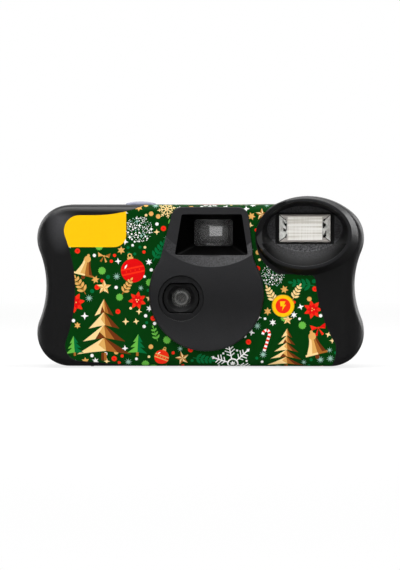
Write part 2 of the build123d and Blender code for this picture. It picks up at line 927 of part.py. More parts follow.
def label_front():
    """The label's front view, reaching past the body above and below."""
    above = dome_high_z + overrun
    below = base_z - overrun
    heel = Vector(label_bottom_left_x, base_z + 2 * label_thickness)
    foot = Vector(label_foot_x, label_foot_z)
    waist_low = Vector((label_foot_x + label_waist_x) / 2, label_waist_low_z)
    waist_high = Vector((label_foot_x + label_waist_x) / 2, label_waist_high_z)
    shoulder = Vector(label_shoulder_x, label_shoulder_z)
    edges = [
        Line((label_bottom_left_x, below), heel),
        Line(heel, foot),
        Line(foot, waist_low),
        ThreePointArc(waist_low, (label_waist_x, label_waist_z), waist_high),
        Line(waist_high, shoulder),
        Line(shoulder, (label_shelf_x, label_shoulder_z)),
        ThreePointArc(
            (label_shelf_x, label_shoulder_z), (label_rise_x, label_rise_z), (label_top_left_x, label_peak_z)
        ),
        Line((label_top_left_x, label_peak_z), (label_top_left_x, above)),
        Line((label_top_left_x, above), (label_top_right_x, above)),
        Line((label_top_right_x, above), (label_top_right_x, top_z)),
        ThreePointArc(
            (label_top_right_x, top_z),
            (label_flash_x, label_flash_z),
            (label_flash_foot_x, label_flash_foot_z),
        ),
        Line((label_flash_foot_x, label_flash_foot_z), (label_step_x, label_flash_foot_z)),
        ThreePointArc(
            (label_step_x, label_flash_foot_z),
            (label_right_waist_x, label_right_waist_z),
            (label_right_foot_x, label_right_foot_z),
        ),
        ThreePointArc(
            (label_right_foot_x, label_right_foot_z),
            (label_right_heel_x, label_right_heel_z),
            (label_bottom_right_x, base_z),
        ),
        Line((label_bottom_right_x, base_z), (label_bottom_right_x, below)),
        Line((label_bottom_right_x, below), (label_bottom_left_x, below)),
    ]
    shape = make_face(edges)
    near = clearance
    large = [v for v in shape.vertices() if (Vector(v.X, v.Y) - foot).length < near]
    large += [v for v in shape.vertices() if (Vector(v.X, v.Y) - shoulder).length < near]
    shape = fillet(large, label_corner_radius)
    step = Vector(label_step_x, label_flash_foot_z)
    small = [v for v in shape.vertices() if (Vector(v.X, v.Y) - step).length < near]
    return fillet(small, label_small_radius)


def label_back():
    """The label's back view, as wide as the top strip above and the bottom strip below."""
    above = dome_high_z + overrun
    below = base_z - overrun
    shape = make_face(Polyline(
        (label_bottom_left_x, below),
        (label_bottom_left_x, base_z),
        (label_back_left_x, base_z + label_corner_radius),
        (label_back_left_x, top_z - label_corner_radius),
        (label_top_left_x, top_z),
        (label_top_left_x, above),
        (label_top_right_x, above),
        (label_top_right_x, label_back_step_z),
        (label_back_right_x, label_back_step_z),
        (label_bottom_right_x, base_z),
        (label_bottom_right_x, below),
        close=True,
    ))
    corner = [v for v in shape.vertices() if abs(v.Y - label_back_step_z) < clearance]
    return fillet(corner, label_corner_radius)


@lru_cache(maxsize=None)
def label_windows():
    """What the label is cut round: the panel, the flash boss, the buttons and the windows."""
    panel = slab(offset(panel_outline(), amount=label_gap), rim_y - overrun, front_y + wall)
    boss = oval(
        boss_foot_x, boss_foot_z, boss_foot_half_width + label_gap, boss_foot_half_height + label_gap
    )
    switch = flash_button_radius + flash_button_gap
    top = top_z - wall
    above = dome_high_z + overrun
    spaces = panel + slab(boss, rim_y - overrun, front_y + wall)
    spaces += peg(flash_button_x, flash_button_z, rim_y - overrun, front_y + wall, switch)
    spaces += post(button_x, button_y, top, above, button_radius + button_gap + label_gap)
    half_length = counter_window_length / 2 + label_gap
    half_width = counter_window_width / 2 + label_gap
    spaces += block(
        counter_x - half_length, counter_x + half_length,
        counter_window_y - half_width, counter_window_y + half_width, top, above,
    )
    eye = plate(
        eyepiece_x, eyepiece_z,
        eyepiece_width + 2 * (eyepiece_flare + label_gap), eyepiece_height + 2 * (eyepiece_flare + label_gap),
        eyepiece_flare,
    )
    spaces += slab(eye, back_y - wall, back_y + overrun)
    lamp_hole = pipe_radius + running_fit + label_gap
    return spaces + peg(lamp_x, lamp_z, back_y - wall, back_y + overrun, lamp_hole)


def label_form(inset):
    """The body's shape within the label's bounds, drawn in by inset."""
    front = front_form(inset) & slab(label_front(), rim_y - overrun, seam_y)
    rear = rear_form(inset) & slab(label_back(), seam_y, back_y + overrun)
    return front, rear


def make_label():
    """The printed paper wrap, sunk flush into the covers."""
    outer_front, outer_rear = label_form(0)
    skin = (outer_front - front_form(label_thickness)) + (outer_rear - rear_form(label_thickness))
    return skin - label_windows()


# Covers

def button_hole():
    """The round hole in the top for the shutter button."""
    return post(button_x, button_y, inner_top_z - overrun, dome_high_z, button_radius + button_gap)


def counter_window_hole():
    """The slot in the top over the counter's numbers."""
    half_length = counter_window_length / 2
    half_width = counter_window_width / 2
    return block(
        counter_x - half_length, counter_x + half_length,
        counter_window_y - half_width, counter_window_y + half_width, inner_top_z - overrun, top_z + overrun,
    )


def make_front_cover():
    """The front half of the case with the lens panel, the funnel, the flash boss and the hooks."""
    far = seam_y + overrun
    cavity = slab(outline(wall), inner_front_y, far) & plan(wall, inner_front_y, far)
    shell = front_form() - cavity
    shell += panel_solid()
    shell += flash_boss()
    shell += funnel_solid()
    shell += bowl(bowl_wall, front_y, bowl_y + bowl_wall) & slab(outline(), front_y, seam_y)
    shell -= panel_hollow() - funnel_solid()
    shell -= scoop()
    shell -= funnel_space()
    shell -= bowl(0, rim_y - overrun / 10, bowl_y)
    shell -= flash_window_hole()
    shell -= lens_well()
    shell -= peg(
        flash_button_x, flash_button_z, front_y - overrun, inner_front_y + overrun,
        flash_button_radius + flash_button_gap,
    )
    shell -= button_hole()
    shell -= counter_window_hole()
    shell -= door_space(door_gap)
    shell -= door_pin_holes()
    shell -= seam_groove()
    pocket = label_form(0)[0] - front_form(label_thickness) - label_windows()
    return shell - pocket + hooks()


def thumb_scoop():
    """The finger hollow in the back round the advance wheel: a ramp below, a floor, a ramp above."""
    half_outer = thumb_scoop_outer_half_width
    half_inner = thumb_scoop_inner_half_width
    floor_low = wheel_low_z - wheel_slot_gap
    floor_high = wheel_high_z + wheel_slot_gap
    centre = (floor_low + floor_high) / 2
    inner = plate(cassette_x, centre, 2 * half_inner, floor_high - floor_low)
    low = floor_low - thumb_scoop_ramp
    high = top_z + overrun
    outer = plate(cassette_x, (low + high) / 2, 2 * half_outer, high - low)
    return taper(outer, back_y + overrun / 10, inner, scoop_floor_y)


def thumb_scoop_backing():
    """The wall behind the finger hollow."""
    half_outer = thumb_scoop_outer_half_width + wall
    floor_low = wheel_low_z - wheel_slot_gap - wall
    low = floor_low - thumb_scoop_ramp
    high = top_z - wall / 2
    outer = plate(cassette_x, (low + high) / 2, 2 * half_outer, high - low)
    inner = plate(
        cassette_x, (floor_low + high) / 2, 2 * (thumb_scoop_inner_half_width + wall), high - floor_low
    )
    return taper(outer, inner_back_y, inner, scoop_floor_y - wall)


def wheel_slot():
    """The slot in the hollow's floor that the wheel's rim stands through."""
    radius = wheel_radius + wheel_slot_gap
    return post(cassette_x, cassette_y, wheel_low_z - wheel_slot_gap, wheel_high_z + wheel_slot_gap, radius)


def eyepiece_opening():
    """The flared opening at the back of the viewfinder."""
    hole = plate(eyepiece_x, eyepiece_z, eyepiece_width, eyepiece_height)
    wide = eyepiece_width + 2 * eyepiece_flare
    high = eyepiece_height + 2 * eyepiece_flare
    flare = plate(eyepiece_x, eyepiece_z, wide, high)
    mouth = taper(hole, back_y - wall / 2, flare, back_y + overrun / 10)
    return slab(hole, inner_back_y - overrun, back_y) + mouth


def make_rear_cover():
    """The back half of the case with the finger hollow, the eyepiece and the hook windows."""
    cavity = slab(outline(wall), seam_y - overrun, inner_back_y)
    shell = rear_form() - cavity
    shell += thumb_scoop_backing() & slab(outline(wall / 2), seam_y, back_y - wall / 2)
    shell -= thumb_scoop()
    shell -= wheel_slot()
    shell -= eyepiece_opening()
    shell -= peg(lamp_x, lamp_z, inner_back_y - overrun, back_y + overrun, pipe_radius + running_fit)
    shell -= door_space(door_gap)
    shell -= door_pin_holes()
    shell -= hook_windows()
    shell -= seam_groove()
    pocket = label_form(0)[1] - rear_form(label_thickness) - label_windows()
    return shell - pocket


# Frame

def chamber_ring(x, y, radius, low, high):
    """A round chamber's wall, open at the back for the film."""
    ring = post(x, y, low, high, radius + frame_wall) - post(x, y, low, high, radius)
    reach = radius + 2 * frame_wall
    return ring - block(x - reach, x + reach, chamber_open_y, y + reach, low - overrun, high + overrun)


def finder_tunnel():
    """The viewfinder's square tunnel, smaller at the eye, with a seat for each lens."""
    near = funnel_end_y + clearance
    far = inner_back_y - clearance
    mouth = plate(window_x, window_z, window_width + clearance, window_height)
    eye = plate(eyepiece_x, eyepiece_z, eyepiece_width, eyepiece_height)
    outer_mouth = plate(
        window_x, window_z, window_width + clearance + 2 * tunnel_wall, window_height + 2 * tunnel_wall
    )
    outer_eye = plate(
        eyepiece_x, eyepiece_z, eyepiece_width + 2 * tunnel_wall, eyepiece_height + 2 * tunnel_wall
    )
    straight = near + finder_lens_thickness + finder_stop_thickness + clearance
    tail = far - eye_lens_thickness - clearance
    solid = slab(outer_mouth, near, straight) + taper(outer_mouth, straight, outer_eye, tail)
    solid += slab(outer_eye, tail, far)
    space = slab(mouth, near - overrun, straight) + taper(mouth, straight, eye, tail)
    return solid - space - slab(eye, tail, far + overrun)


def light_box():
    """The dark pyramid between the front plate and the film gate."""
    back = gate_plate_y
    thick = 2 * frame_wall
    front_outer = plate(lens_x, lens_z, box_front_width, box_front_height)
    back_outer = plate(lens_x, lens_z, gate_width + thick, gate_height + thick)
    front_inner = plate(lens_x, lens_z, box_front_width - thick, box_front_height - thick)
    back_inner = plate(lens_x, lens_z, gate_width, gate_height)
    inner_y = box_front_y + box_front_thickness
    solid = taper(front_outer, box_front_y, back_outer, back)
    solid += slab(plate(lens_x, lens_z, box_plate_width, box_plate_height), box_front_y, inner_y)
    return solid, taper(front_inner, inner_y, back_inner, back + overrun / 10)


def gate_plate():
    """The flat plate round the gate with two rails and two edge guides for the film."""
    near = gate_plate_y - gate_plate_thickness
    left = gate_plate_left_x
    right = gate_plate_right_x
    solid = block(left, right, near, gate_plate_y, gate_plate_low_z, gate_plate_high_z)
    for side in (-1, 1):
        rail = film_centre_z + side * (gate_height / 2 + rail_width)
        solid += block(
            left, right, near, film_plane_y - running_fit / 2, rail - rail_width / 2, rail + rail_width / 2
        )
        guide = film_centre_z + side * (film_width / 2 + clearance / 2 + rail_width / 2)
        solid += block(
            left, right, near, gate_plate_y + guide_height, guide - rail_width / 2, guide + rail_width / 2
        )
    slot = sprocket_radius + sprocket_tooth_height + clearance
    half = sprocket_thickness / 2 + clearance
    drum = post(sprocket_x, sprocket_y, sprocket_z - half, sprocket_z + half, slot)
    return solid - drum


def make_main_frame():
    """The moulding that holds the cassette, the film roll, the gate, the levers and the battery."""
    high = deck_low_z
    frame = chamber_ring(cassette_x, cassette_y, chamber_radius, frame_low_z, high)
    frame += chamber_ring(roll_x, roll_y, roll_chamber_radius, frame_low_z, gate_plate_high_z)
    link_angle = math.asin((chamber_open_y - cassette_y) / chamber_radius)
    link_left = cassette_x + chamber_radius * math.cos(link_angle)
    frame += block(
        link_left + clearance, gate_plate_left_x + frame_wall, chamber_open_y - 2 * frame_wall,
        gate_plate_y - gate_plate_thickness + clearance, gate_plate_low_z, gate_plate_high_z,
    ) - post(cassette_x, cassette_y, frame_low_z, high, chamber_radius)
    roll_link = roll_x - roll_chamber_radius * math.cos(
        math.asin((chamber_open_y - roll_y) / roll_chamber_radius)
    )
    frame += block(
        roll_link - frame_wall, roll_link + frame_wall / 2, chamber_open_y - frame_wall, gate_plate_y,
        gate_plate_low_z, gate_plate_high_z,
    ) - post(roll_x, roll_y, frame_low_z, high, roll_chamber_radius)
    frame += gate_plate()
    box, box_space = light_box()
    frame += box
    roof = roll_chamber_radius + frame_wall
    frame += post(roll_x, roll_y, gate_plate_high_z, gate_plate_high_z + deck_thickness, roof) - block(
        roll_x - roof, roll_x + roof, film_plane_y, film_plane_y + roof, frame_low_z, high
    )
    frame += post(roll_x, roll_y, frame_low_z, frame_low_z + frame_wall, roof)
    deck = post(cassette_x, cassette_y, deck_low_z, deck_high_z, chamber_radius + frame_wall)
    deck_right = window_x - (window_width + clearance + tunnel_wall) / 2
    deck += block(
        cassette_x, deck_right, funnel_end_y + clearance, chamber_open_y + wall, deck_low_z, deck_high_z
    )
    deck_back = scoop_floor_y - wall - clearance
    reach = chamber_radius + 2 * frame_wall
    frame += deck - block(
        cassette_x - reach, cassette_x + reach, deck_back, deck_back + reach,
        deck_low_z - overrun, deck_high_z + overrun,
    )
    frame += block(
        gate_plate_left_x, deck_right, chamber_open_y - wall, gate_plate_y, gate_plate_high_z - frame_wall,
        deck_low_z + clearance,
    )
    frame += finder_tunnel()
    frame += counter_post()
    frame += lever_posts()
    frame += battery_cradle()
    frame -= box_space
    frame -= peg(lens_x, lens_z, box_front_y - overrun, box_front_y + 2 * box_front_thickness, stop_radius)
    hub_hole = wheel_hub_radius + clearance
    frame -= post(cassette_x, cassette_y, deck_low_z - overrun, deck_high_z + overrun, hub_hole)
    bearing = sprocket_shaft_radius + running_fit
    frame -= post(sprocket_x, sprocket_y, sprocket_z, deck_high_z + overrun, bearing)
    frame -= post(
        button_x, button_y, deck_low_z - overrun, deck_high_z + overrun, button_stem_radius + clearance
    )
    return frame & case_space()


def case_space():
    """The room inside the two covers, a little clear of their walls."""
    inset = wall + clearance
    near = front_y + inset
    far = back_y - inset
    return slab(outline(inset), near, far) & plan(inset, near, far)


def counter_post():
    """The pin on the viewfinder's roof that the counter turns on, and the rib under it."""
    pin = post(
        counter_x, counter_y, deck_high_z - clearance, counter_high_z + counter_pin_height, counter_pin_radius
    )
    shoulder = counter_low_z - running_fit
    return pin + post(counter_x, counter_y, deck_high_z - clearance, shoulder, 2 * counter_pin_radius)


def lever_posts():
    """The posts that hang from the deck for the two levers, and the shutter's pin on the box."""
    striker = post(striker_x, striker_y, striker_low_z - clearance, deck_low_z, striker_post_radius)
    head = striker_post_radius + clearance
    striker += post(striker_x, striker_y, striker_low_z - 2 * clearance, striker_low_z - clearance / 3, head)
    metering = post(metering_x, metering_y, metering_low_z - clearance, deck_low_z, metering_post_radius)
    head = metering_post_radius + clearance
    collar_high = metering_low_z - clearance / 3
    metering += post(metering_x, metering_y, metering_low_z - 2 * clearance, collar_high, head)
    pin_front = shutter_y() - clearance
    shutter = peg(shutter_pivot_x, shutter_pivot_z, pin_front, box_front_y, shutter_pin_radius)
    shutter += peg(
        shutter_pivot_x, shutter_pivot_z,
        pin_front - clearance, pin_front + clearance / 2, shutter_pin_head_radius,
    )
    return striker + metering + shutter


def shutter_y():
    """The front face of the shutter blade."""
    return box_front_y - clearance / 3 - shutter_thickness


def battery_cradle():
    """Two shelves and a rib that hold the battery upright."""
    half = battery_shelf_half_width
    low = battery_low_z - contact_spring_height - contact_thickness - battery_shelf
    high = battery_low_z + battery_length + battery_nub_height + contact_thickness
    rib_front = battery_y - battery_radius - clearance - battery_shelf
    shelves = block(
        battery_x - half, battery_x + half, rib_front, battery_y + battery_radius, low, low + battery_shelf
    )
    shelves += block(
        battery_x - half, battery_x + half, rib_front, battery_y + battery_radius, high, high + battery_shelf
    )
    shelves += block(
        battery_x - half, battery_x + half, rib_front, rib_front + battery_shelf, low, high + battery_shelf
    )
    arm_left = roll_x + roll_chamber_radius * math.cos(math.asin((roll_y - rib_front) / roll_chamber_radius))
    return shelves + block(
        arm_left + frame_wall / 2, battery_x, rib_front, rib_front + battery_shelf, low, board_high_z
    )


# Film, cassette and supply roll

def make_cassette_shell():
    """The rolled sheet-metal can with its flat lip."""
    low = cassette_low_z + cassette_sheet
    high = cassette_high_z - cassette_sheet
    can = post(cassette_x, cassette_y, low, high, cassette_radius)
    middle = film_plane_y + film_thickness / 2
    half = cassette_lip_gap / 2
    lip_left = cassette_x + cassette_radius / 4
    lip_front = middle - half - cassette_sheet
    lip_back = middle + half + cassette_sheet
    can += block(lip_left, cassette_lip_x, lip_front, lip_back, low, high)
    can -= post(cassette_x, cassette_y, low - overrun, high + overrun, cassette_radius - cassette_sheet)
    return can - block(
        lip_left - overrun, cassette_lip_x + overrun,
        middle - half, middle + half, low - overrun, high + overrun,
    )


def make_cassette_caps():
    """The two pressed end caps of the cassette."""
    caps = Part()
    for side in (-1, 1):
        face = cassette_high_z if side > 0 else cassette_low_z
        rim = face - side * cassette_cap_height
        inner = face - side * cassette_sheet
        low, high = sorted((face, rim))
        cap = post(cassette_x, cassette_y, low, high, cassette_cap_radius)
        low, high = sorted((inner, rim))
        cap -= post(cassette_x, cassette_y, low, high, cassette_radius + running_fit / 2)
        low, high = sorted((face + side * overrun, rim))
        hole = spool_hub_radius + running_fit
        cap -= post(cassette_x, cassette_y, low, high, hole)
        lip = block(
            cassette_x + cassette_radius / 4 - overrun, cassette_lip_x + overrun,
            film_plane_y - cassette_lip_gap, cassette_y + 2 * cassette_radius, *sorted((inner, rim)),
        )
        caps += cap - lip
    return caps


def make_felts():
    """The two black strips that close the cassette's lip against light."""
    middle = film_plane_y + film_thickness / 2
    half = cassette_lip_gap / 2
    low = cassette_low_z + 2 * cassette_sheet
    high = cassette_high_z - 2 * cassette_sheet
    left = cassette_lip_x - felt_length
    front = block(left, cassette_lip_x, middle - half, middle - half + felt_thickness, low, high)
    return front + block(left, cassette_lip_x, middle + half - felt_thickness, middle + half, low, high)


def make_cassette_spool():
    """The cassette's spool: core, two flanges, hubs, a bore for the wheel and a pivot cone below."""
    inner_low = cassette_low_z + cassette_sheet + running_fit
    inner_high = cassette_high_z - cassette_sheet - running_fit
    spool = post(cassette_x, cassette_y, inner_low, inner_high, spool_core_radius)
    flange = spool_flange_thickness
    spool += post(cassette_x, cassette_y, inner_low, inner_low + flange, spool_flange_radius)
    spool += post(cassette_x, cassette_y, inner_high - flange, inner_high, spool_flange_radius)
    spool += post(cassette_x, cassette_y, cassette_low_z, cassette_high_z + clearance, spool_hub_radius)
    cone_low = spool_pivot_cone
    spool += post(cassette_x, cassette_y, cone_low, cassette_low_z, spool_pivot_radius)
    cone = Cone(
        spool_pivot_tip_radius, spool_pivot_radius, spool_pivot_cone,
        align=(Align.CENTER, Align.CENTER, Align.MIN),
    )
    spool += Pos(cassette_x, cassette_y, 0) * cone
    return spool - post(
        cassette_x, cassette_y, cassette_high_z - wheel_shaft_length(), deck_high_z, spool_bore_radius
    )


def wheel_shaft_length():
    """How far the wheel's shaft reaches into the spool."""
    return wheel_thickness


def make_advance_wheel():
    """The thumb wheel: a knurled rim, a web, a hub through the deck and a blade into the spool."""
    wheel = post(cassette_x, cassette_y, wheel_low_z, wheel_high_z, wheel_radius)
    edge = [e for e in wheel.edges() if e.bounding_box().size.Z < clearance]
    wheel = chamfer(edge, wheel_tooth_depth)
    hollow = wheel_radius - wheel_rim
    wheel -= post(cassette_x, cassette_y, wheel_low_z + wheel_web, wheel_high_z + overrun, hollow)
    wheel += post(cassette_x, cassette_y, wheel_low_z, wheel_high_z - wheel_web, wheel_hub_radius)
    wheel += post(cassette_x, cassette_y, deck_low_z, wheel_low_z, wheel_hub_radius)
    shaft_low = cassette_high_z - wheel_shaft_length() + clearance
    wheel += post(cassette_x, cassette_y, shaft_low, deck_low_z, wheel_shaft_radius)
    groove = Part()
    for index in range(wheel_teeth):
        angle = 2 * math.pi * index / wheel_teeth
        x = cassette_x + wheel_radius * math.cos(angle)
        y = cassette_y + wheel_radius * math.sin(angle)
        groove += post(x, y, wheel_low_z - overrun, wheel_high_z + overrun, wheel_tooth_depth)
    return wheel - groove


def make_film_strip():
    """The flat film across the gate, with its rows of holes and a slot that the sprocket's teeth turn in."""
    left = cassette_lip_x - felt_length - overrun
    strip = block(left, roll_x, film_plane_y, film_plane_y + film_thickness, film_low_z, film_high_z)
    hole = RectangleRounded(perforation_width, perforation_height, perforation_corner_radius)
    first = math.ceil((left + perforation_pitch / 2 - sprocket_x) / perforation_pitch)
    last = math.floor((roll_x - perforation_pitch / 2 - sprocket_x) / perforation_pitch)
    reach = film_width / 2 - perforation_edge - perforation_height / 2
    places = []
    for index in range(first, last + 1):
        for side in (-1, 1):
            places.append(Pos(sprocket_x + index * perforation_pitch, film_centre_z + side * reach) * hole)
    tip = sprocket_radius + sprocket_tooth_height
    half_slot = math.sqrt(tip**2 - sprocket_radius**2) + clearance
    places.append(plate(sprocket_x, sprocket_z, 2 * half_slot, perforation_height, perforation_corner_radius))
    cutters = Part() + [slab(place, film_plane_y - overrun, film_plane_y + overrun) for place in places]
    return strip - cutters


def make_film_roll():
    """The wound film on the supply spool, cut flat where the strip leaves it."""
    roll = post(roll_x, roll_y, film_low_z, film_high_z, roll_radius - running_fit)
    return roll - post(roll_x, roll_y, film_low_z - overrun, film_high_z + overrun, roll_core_radius)


def make_supply_spool():
    """The spool that the film was wound on at the factory."""
    low = film_low_z - supply_spool_flange - clearance
    high = film_high_z + supply_spool_flange + clearance
    core = roll_core_radius - running_fit
    spool = post(roll_x, roll_y, low, high, core) - post(
        roll_x, roll_y, low + supply_spool_wall, high - supply_spool_wall, core - supply_spool_wall
    )
    flange = roll_radius - supply_spool_wall
    spool += post(roll_x, roll_y, low, low + supply_spool_flange, flange) - post(
        roll_x, roll_y, low, low + supply_spool_flange, core - supply_spool_wall
    )
    spool += post(roll_x, roll_y, high - supply_spool_flange, high, flange) - post(
        roll_x, roll_y, high - supply_spool_flange, high, core - supply_spool_wall
    )
    floor = frame_low_z + frame_wall + clearance
    roof = gate_plate_high_z - clearance
    spool += post(roll_x, roll_y, floor, low, supply_spool_pin_radius)
    return spool + post(roll_x, roll_y, high, roof, supply_spool_pin_radius)


def make_sprocket_wheel():
    """The eight-tooth wheel that the film turns, its shaft, and the pinion for the counter."""
    low = sprocket_z - sprocket_thickness / 2
    high = sprocket_z + sprocket_thickness / 2
    body = sprocket_radius - clearance
    wheel = post(sprocket_x, sprocket_y, low, high, body)
    for index in range(sprocket_teeth):
        angle = 360 / sprocket_teeth * index + 90
        tip = sprocket_radius + sprocket_tooth_height
        half = sprocket_tooth_width / 2
        tooth = block(0, tip, -half, half, low, high)
        tooth = chamfer([e for e in tooth.edges() if e.bounding_box().min.X > tip - clearance], half / 2)
        wheel += Pos(sprocket_x, sprocket_y, 0) * (Rot(0, 0, angle) * tooth)
    wheel += post(sprocket_x, sprocket_y, high, high + sprocket_drum_radius / 2, sprocket_drum_radius)
    wheel += post(sprocket_x, sprocket_y, high, counter_high_z, sprocket_shaft_radius)
    wheel += post(sprocket_x, sprocket_y, counter_low_z, counter_high_z, pinion_radius)
    reach = pinion_radius + pinion_tooth_height
    half = pinion_tooth_width / 2
    tooth = block(0, reach, -half, half, counter_low_z, counter_high_z)
    return wheel + Pos(sprocket_x, sprocket_y, 0) * (Rot(0, 0, 90) * tooth)


def make_counter_disc():
    """The forty-tooth disc that carries the numbers of pictures left."""
    disc = post(counter_x, counter_y, counter_low_z, counter_high_z, counter_radius)
    disc -= post(
        counter_x, counter_y,
        counter_low_z - overrun, counter_high_z + overrun, counter_pin_radius + running_fit,
    )
    notches = Part()
    for index in range(counter_teeth):
        angle = 2 * math.pi * (index + 1 / 2) / counter_teeth
        x = counter_x + counter_radius * math.cos(angle)
        y = counter_y + counter_radius * math.sin(angle)
        notches += post(x, y, counter_low_z - overrun, counter_high_z + overrun, counter_tooth_depth)
    return disc - notches


def make_counter_window():
    """The clear block over the counter, flush with the top, with a flange inside."""
    half_length = counter_window_length / 2 - running_fit
    half_width = counter_window_width / 2 - running_fit
    window = block(
        counter_x - half_length, counter_x + half_length,
        counter_window_y - half_width, counter_window_y + half_width, inner_top_z, top_z,
    )
    top_edges = [e for e in window.edges() if e.bounding_box().min.Z > top_z - clearance / 2]
    window = fillet(top_edges, clearance)
    flange = counter_window_flange
    return window + block(
        counter_x - half_length - flange, counter_x + half_length + flange,
        counter_window_y - half_width - flange, counter_window_y + half_width + flange,
        inner_top_z - flange, inner_top_z,
    )


# Shutter button, levers and shutter

def make_shutter_button():
    """The round domed button with a hollow skirt, a stem and two lugs that keep it in."""
    skirt_low = top_z - button_skirt
    rim_z = top_z + button_rise - button_crown
    sphere_radius = (button_radius**2 + button_crown**2) / (2 * button_crown)
    body = post(button_x, button_y, skirt_low, top_z + button_rise, button_radius)
    sphere_z = top_z + button_rise - sphere_radius
    body = body & (Pos(button_x, button_y, sphere_z) * Sphere(sphere_radius))
    edge = [e for e in body.edges() if abs(e.bounding_box().min.Z - rim_z) < clearance]
    body = fillet([e for e in edge if e.bounding_box().size.Z < clearance], button_edge_radius)
    hollow = button_radius - button_wall
    body -= post(button_x, button_y, skirt_low - overrun, rim_z - button_wall, hollow)
    stem_low = deck_high_z + button_travel + clearance
    body += post(button_x, button_y, stem_low, rim_z, button_stem_radius)
    for angle in button_lug_angles:
        lug_high = inner_top_z - running_fit
        lug = block(
            hollow + button_wall / 2, button_radius + button_lug_reach, -button_lug_width / 2,
            button_lug_width / 2, lug_high - button_lug_thickness, lug_high,
        )
        body += Pos(button_x, button_y, 0) * (Rot(0, 0, angle) * lug)
        tie = block(
            hollow + button_wall / 4, button_radius - button_edge_radius, -button_lug_width / 2,
            button_lug_width / 2, lug_high - button_lug_thickness, rim_z - button_wall / 2,
        )
        body += Pos(button_x, button_y, 0) * (Rot(0, 0, angle) * tie)
    return body


def make_button_spring():
    """The button's return spring, a plain sleeve round the stem."""
    high = top_z + button_rise - button_crown - button_wall
    outer = post(button_x, button_y, deck_high_z, high, button_spring_radius)
    inner_radius = button_spring_radius - button_spring_wire
    return outer - post(button_x, button_y, deck_high_z, high, inner_radius)


def lever(x, y, low, thickness, eye_radius, hole_radius, tip_x, tip_y, arm_width):
    """A flat lever from an eye to a tip, in a level plane."""
    dx = tip_x - x
    dy = tip_y - y
    length = math.hypot(dx, dy)
    angle = math.degrees(math.atan2(dy, dx))
    bar = block(0, length, -arm_width / 2, arm_width / 2, low, low + thickness)
    arm = Pos(x, y, 0) * (Rot(0, 0, angle) * bar)
    shape = arm + post(x, y, low, low + thickness, eye_radius)
    shape += post(tip_x, tip_y, low, low + thickness, arm_width / 2)
    return shape - post(x, y, low - overrun, low + thickness + overrun, hole_radius)


def striker_tip_y():
    """How far forward the striker reaches: level with the shutter's tab."""
    return shutter_y() + shutter_thickness / 2


def make_striker_lever():
    """The sprung lever whose tip kicks the shutter open."""
    return lever(
        striker_x, striker_y, striker_low_z, striker_thickness, striker_eye_radius,
        striker_post_radius + running_fit, striker_x, striker_tip_y(), striker_arm_width,
    )


def make_metering_lever():
    """The lever that stops the sprocket wheel after one picture."""
    return lever(
        metering_x, metering_y, metering_low_z, metering_thickness, metering_eye_radius,
        metering_post_radius + running_fit, metering_reach_x, metering_reach_y, metering_arm_width,
    )


def coil_sleeve(x, y, low, high, bore, wire):
    """A small torsion spring round a lever's post, as a plain sleeve."""
    return post(x, y, low, high, bore + wire) - post(x, y, low, high, bore)


def make_striker_spring():
    """The torsion spring that drives the striker."""
    low = striker_low_z + striker_thickness + running_fit
    bore = striker_post_radius + running_fit
    return coil_sleeve(striker_x, striker_y, low, deck_low_z, bore, lever_spring_wire)


def make_metering_spring():
    """The torsion spring that returns the metering lever."""
    low = metering_low_z + metering_thickness + running_fit
    bore = metering_post_radius + running_fit
    return coil_sleeve(metering_x, metering_y, low, deck_low_z, bore, lever_spring_wire)


def make_shutter_blade():
    """The thin blade: a pad over the light hole, an eye on its pin and a tab for the striker."""
    near = shutter_y()
    far = near + shutter_thickness
    pivot = Vector(shutter_pivot_x, shutter_pivot_z)
    pad = Vector(lens_x, lens_z)
    reach = pad - pivot
    angle = math.degrees(math.atan2(reach.Y, reach.X))
    arm_centre = (pivot + pad) * (1 / 2)
    shape = Pos(arm_centre.X, arm_centre.Y) * (Rot(0, 0, angle) * Rectangle(reach.length, shutter_pad_radius))
    shape += Pos(pad.X, pad.Y) * Circle(shutter_pad_radius)
    shape += Pos(pivot.X, pivot.Y) * Circle(shutter_eye_radius)
    tab_x = striker_x + striker_arm_width / 2 + striker_gap + shutter_tab_width / 2
    tab_high = striker_low_z + striker_thickness
    tab_low = shutter_pivot_z
    height = tab_high - tab_low
    shape += Pos(tab_x, tab_low + height / 2) * Rectangle(shutter_tab_width, height)
    foot_x = (tab_x + shutter_pivot_x) / 2
    foot_width = tab_x - shutter_pivot_x + shutter_tab_width
    shape += Pos(foot_x, shutter_pivot_z) * Rectangle(foot_width, shutter_tab_width)
    blade = slab(shape, near, far)
    return blade - peg(
        shutter_pivot_x, shutter_pivot_z, near - overrun, far + overrun, shutter_pin_radius + running_fit
    )


# Taking lens and viewfinder lenses

def make_taking_lens():
    """A clear meniscus with a thin edge."""
    edge = peg(lens_x, lens_z, lens_y, lens_y + lens_thickness, lens_radius)
    crown = lens_thickness - lens_edge_thickness
    curve = (lens_sight_radius**2 + crown**2) / (2 * crown)
    ball = Pos(lens_x, lens_y + curve, lens_z) * Sphere(curve)
    dome = edge & ball
    rim_near = lens_y + crown
    rim = peg(lens_x, lens_z, rim_near, lens_y + lens_thickness, lens_radius)
    return dome + rim


def make_lens_retainer():
    """The dished black ring in front of the lens, flat above and below."""
    near = panel_y + lens_ring_depth + retainer_setback
    crown = lens_thickness - lens_edge_thickness
    far = lens_y + crown - running_fit
    ring = slab(flat_sided(retainer_radius, retainer_flat), near, far)
    mouth = Pos(lens_x, lens_z) * Circle(retainer_mouth_radius)
    throat = Pos(lens_x, lens_z) * Circle(lens_sight_radius + running_fit)
    return ring - taper(mouth, near - running_fit, throat, far + running_fit)


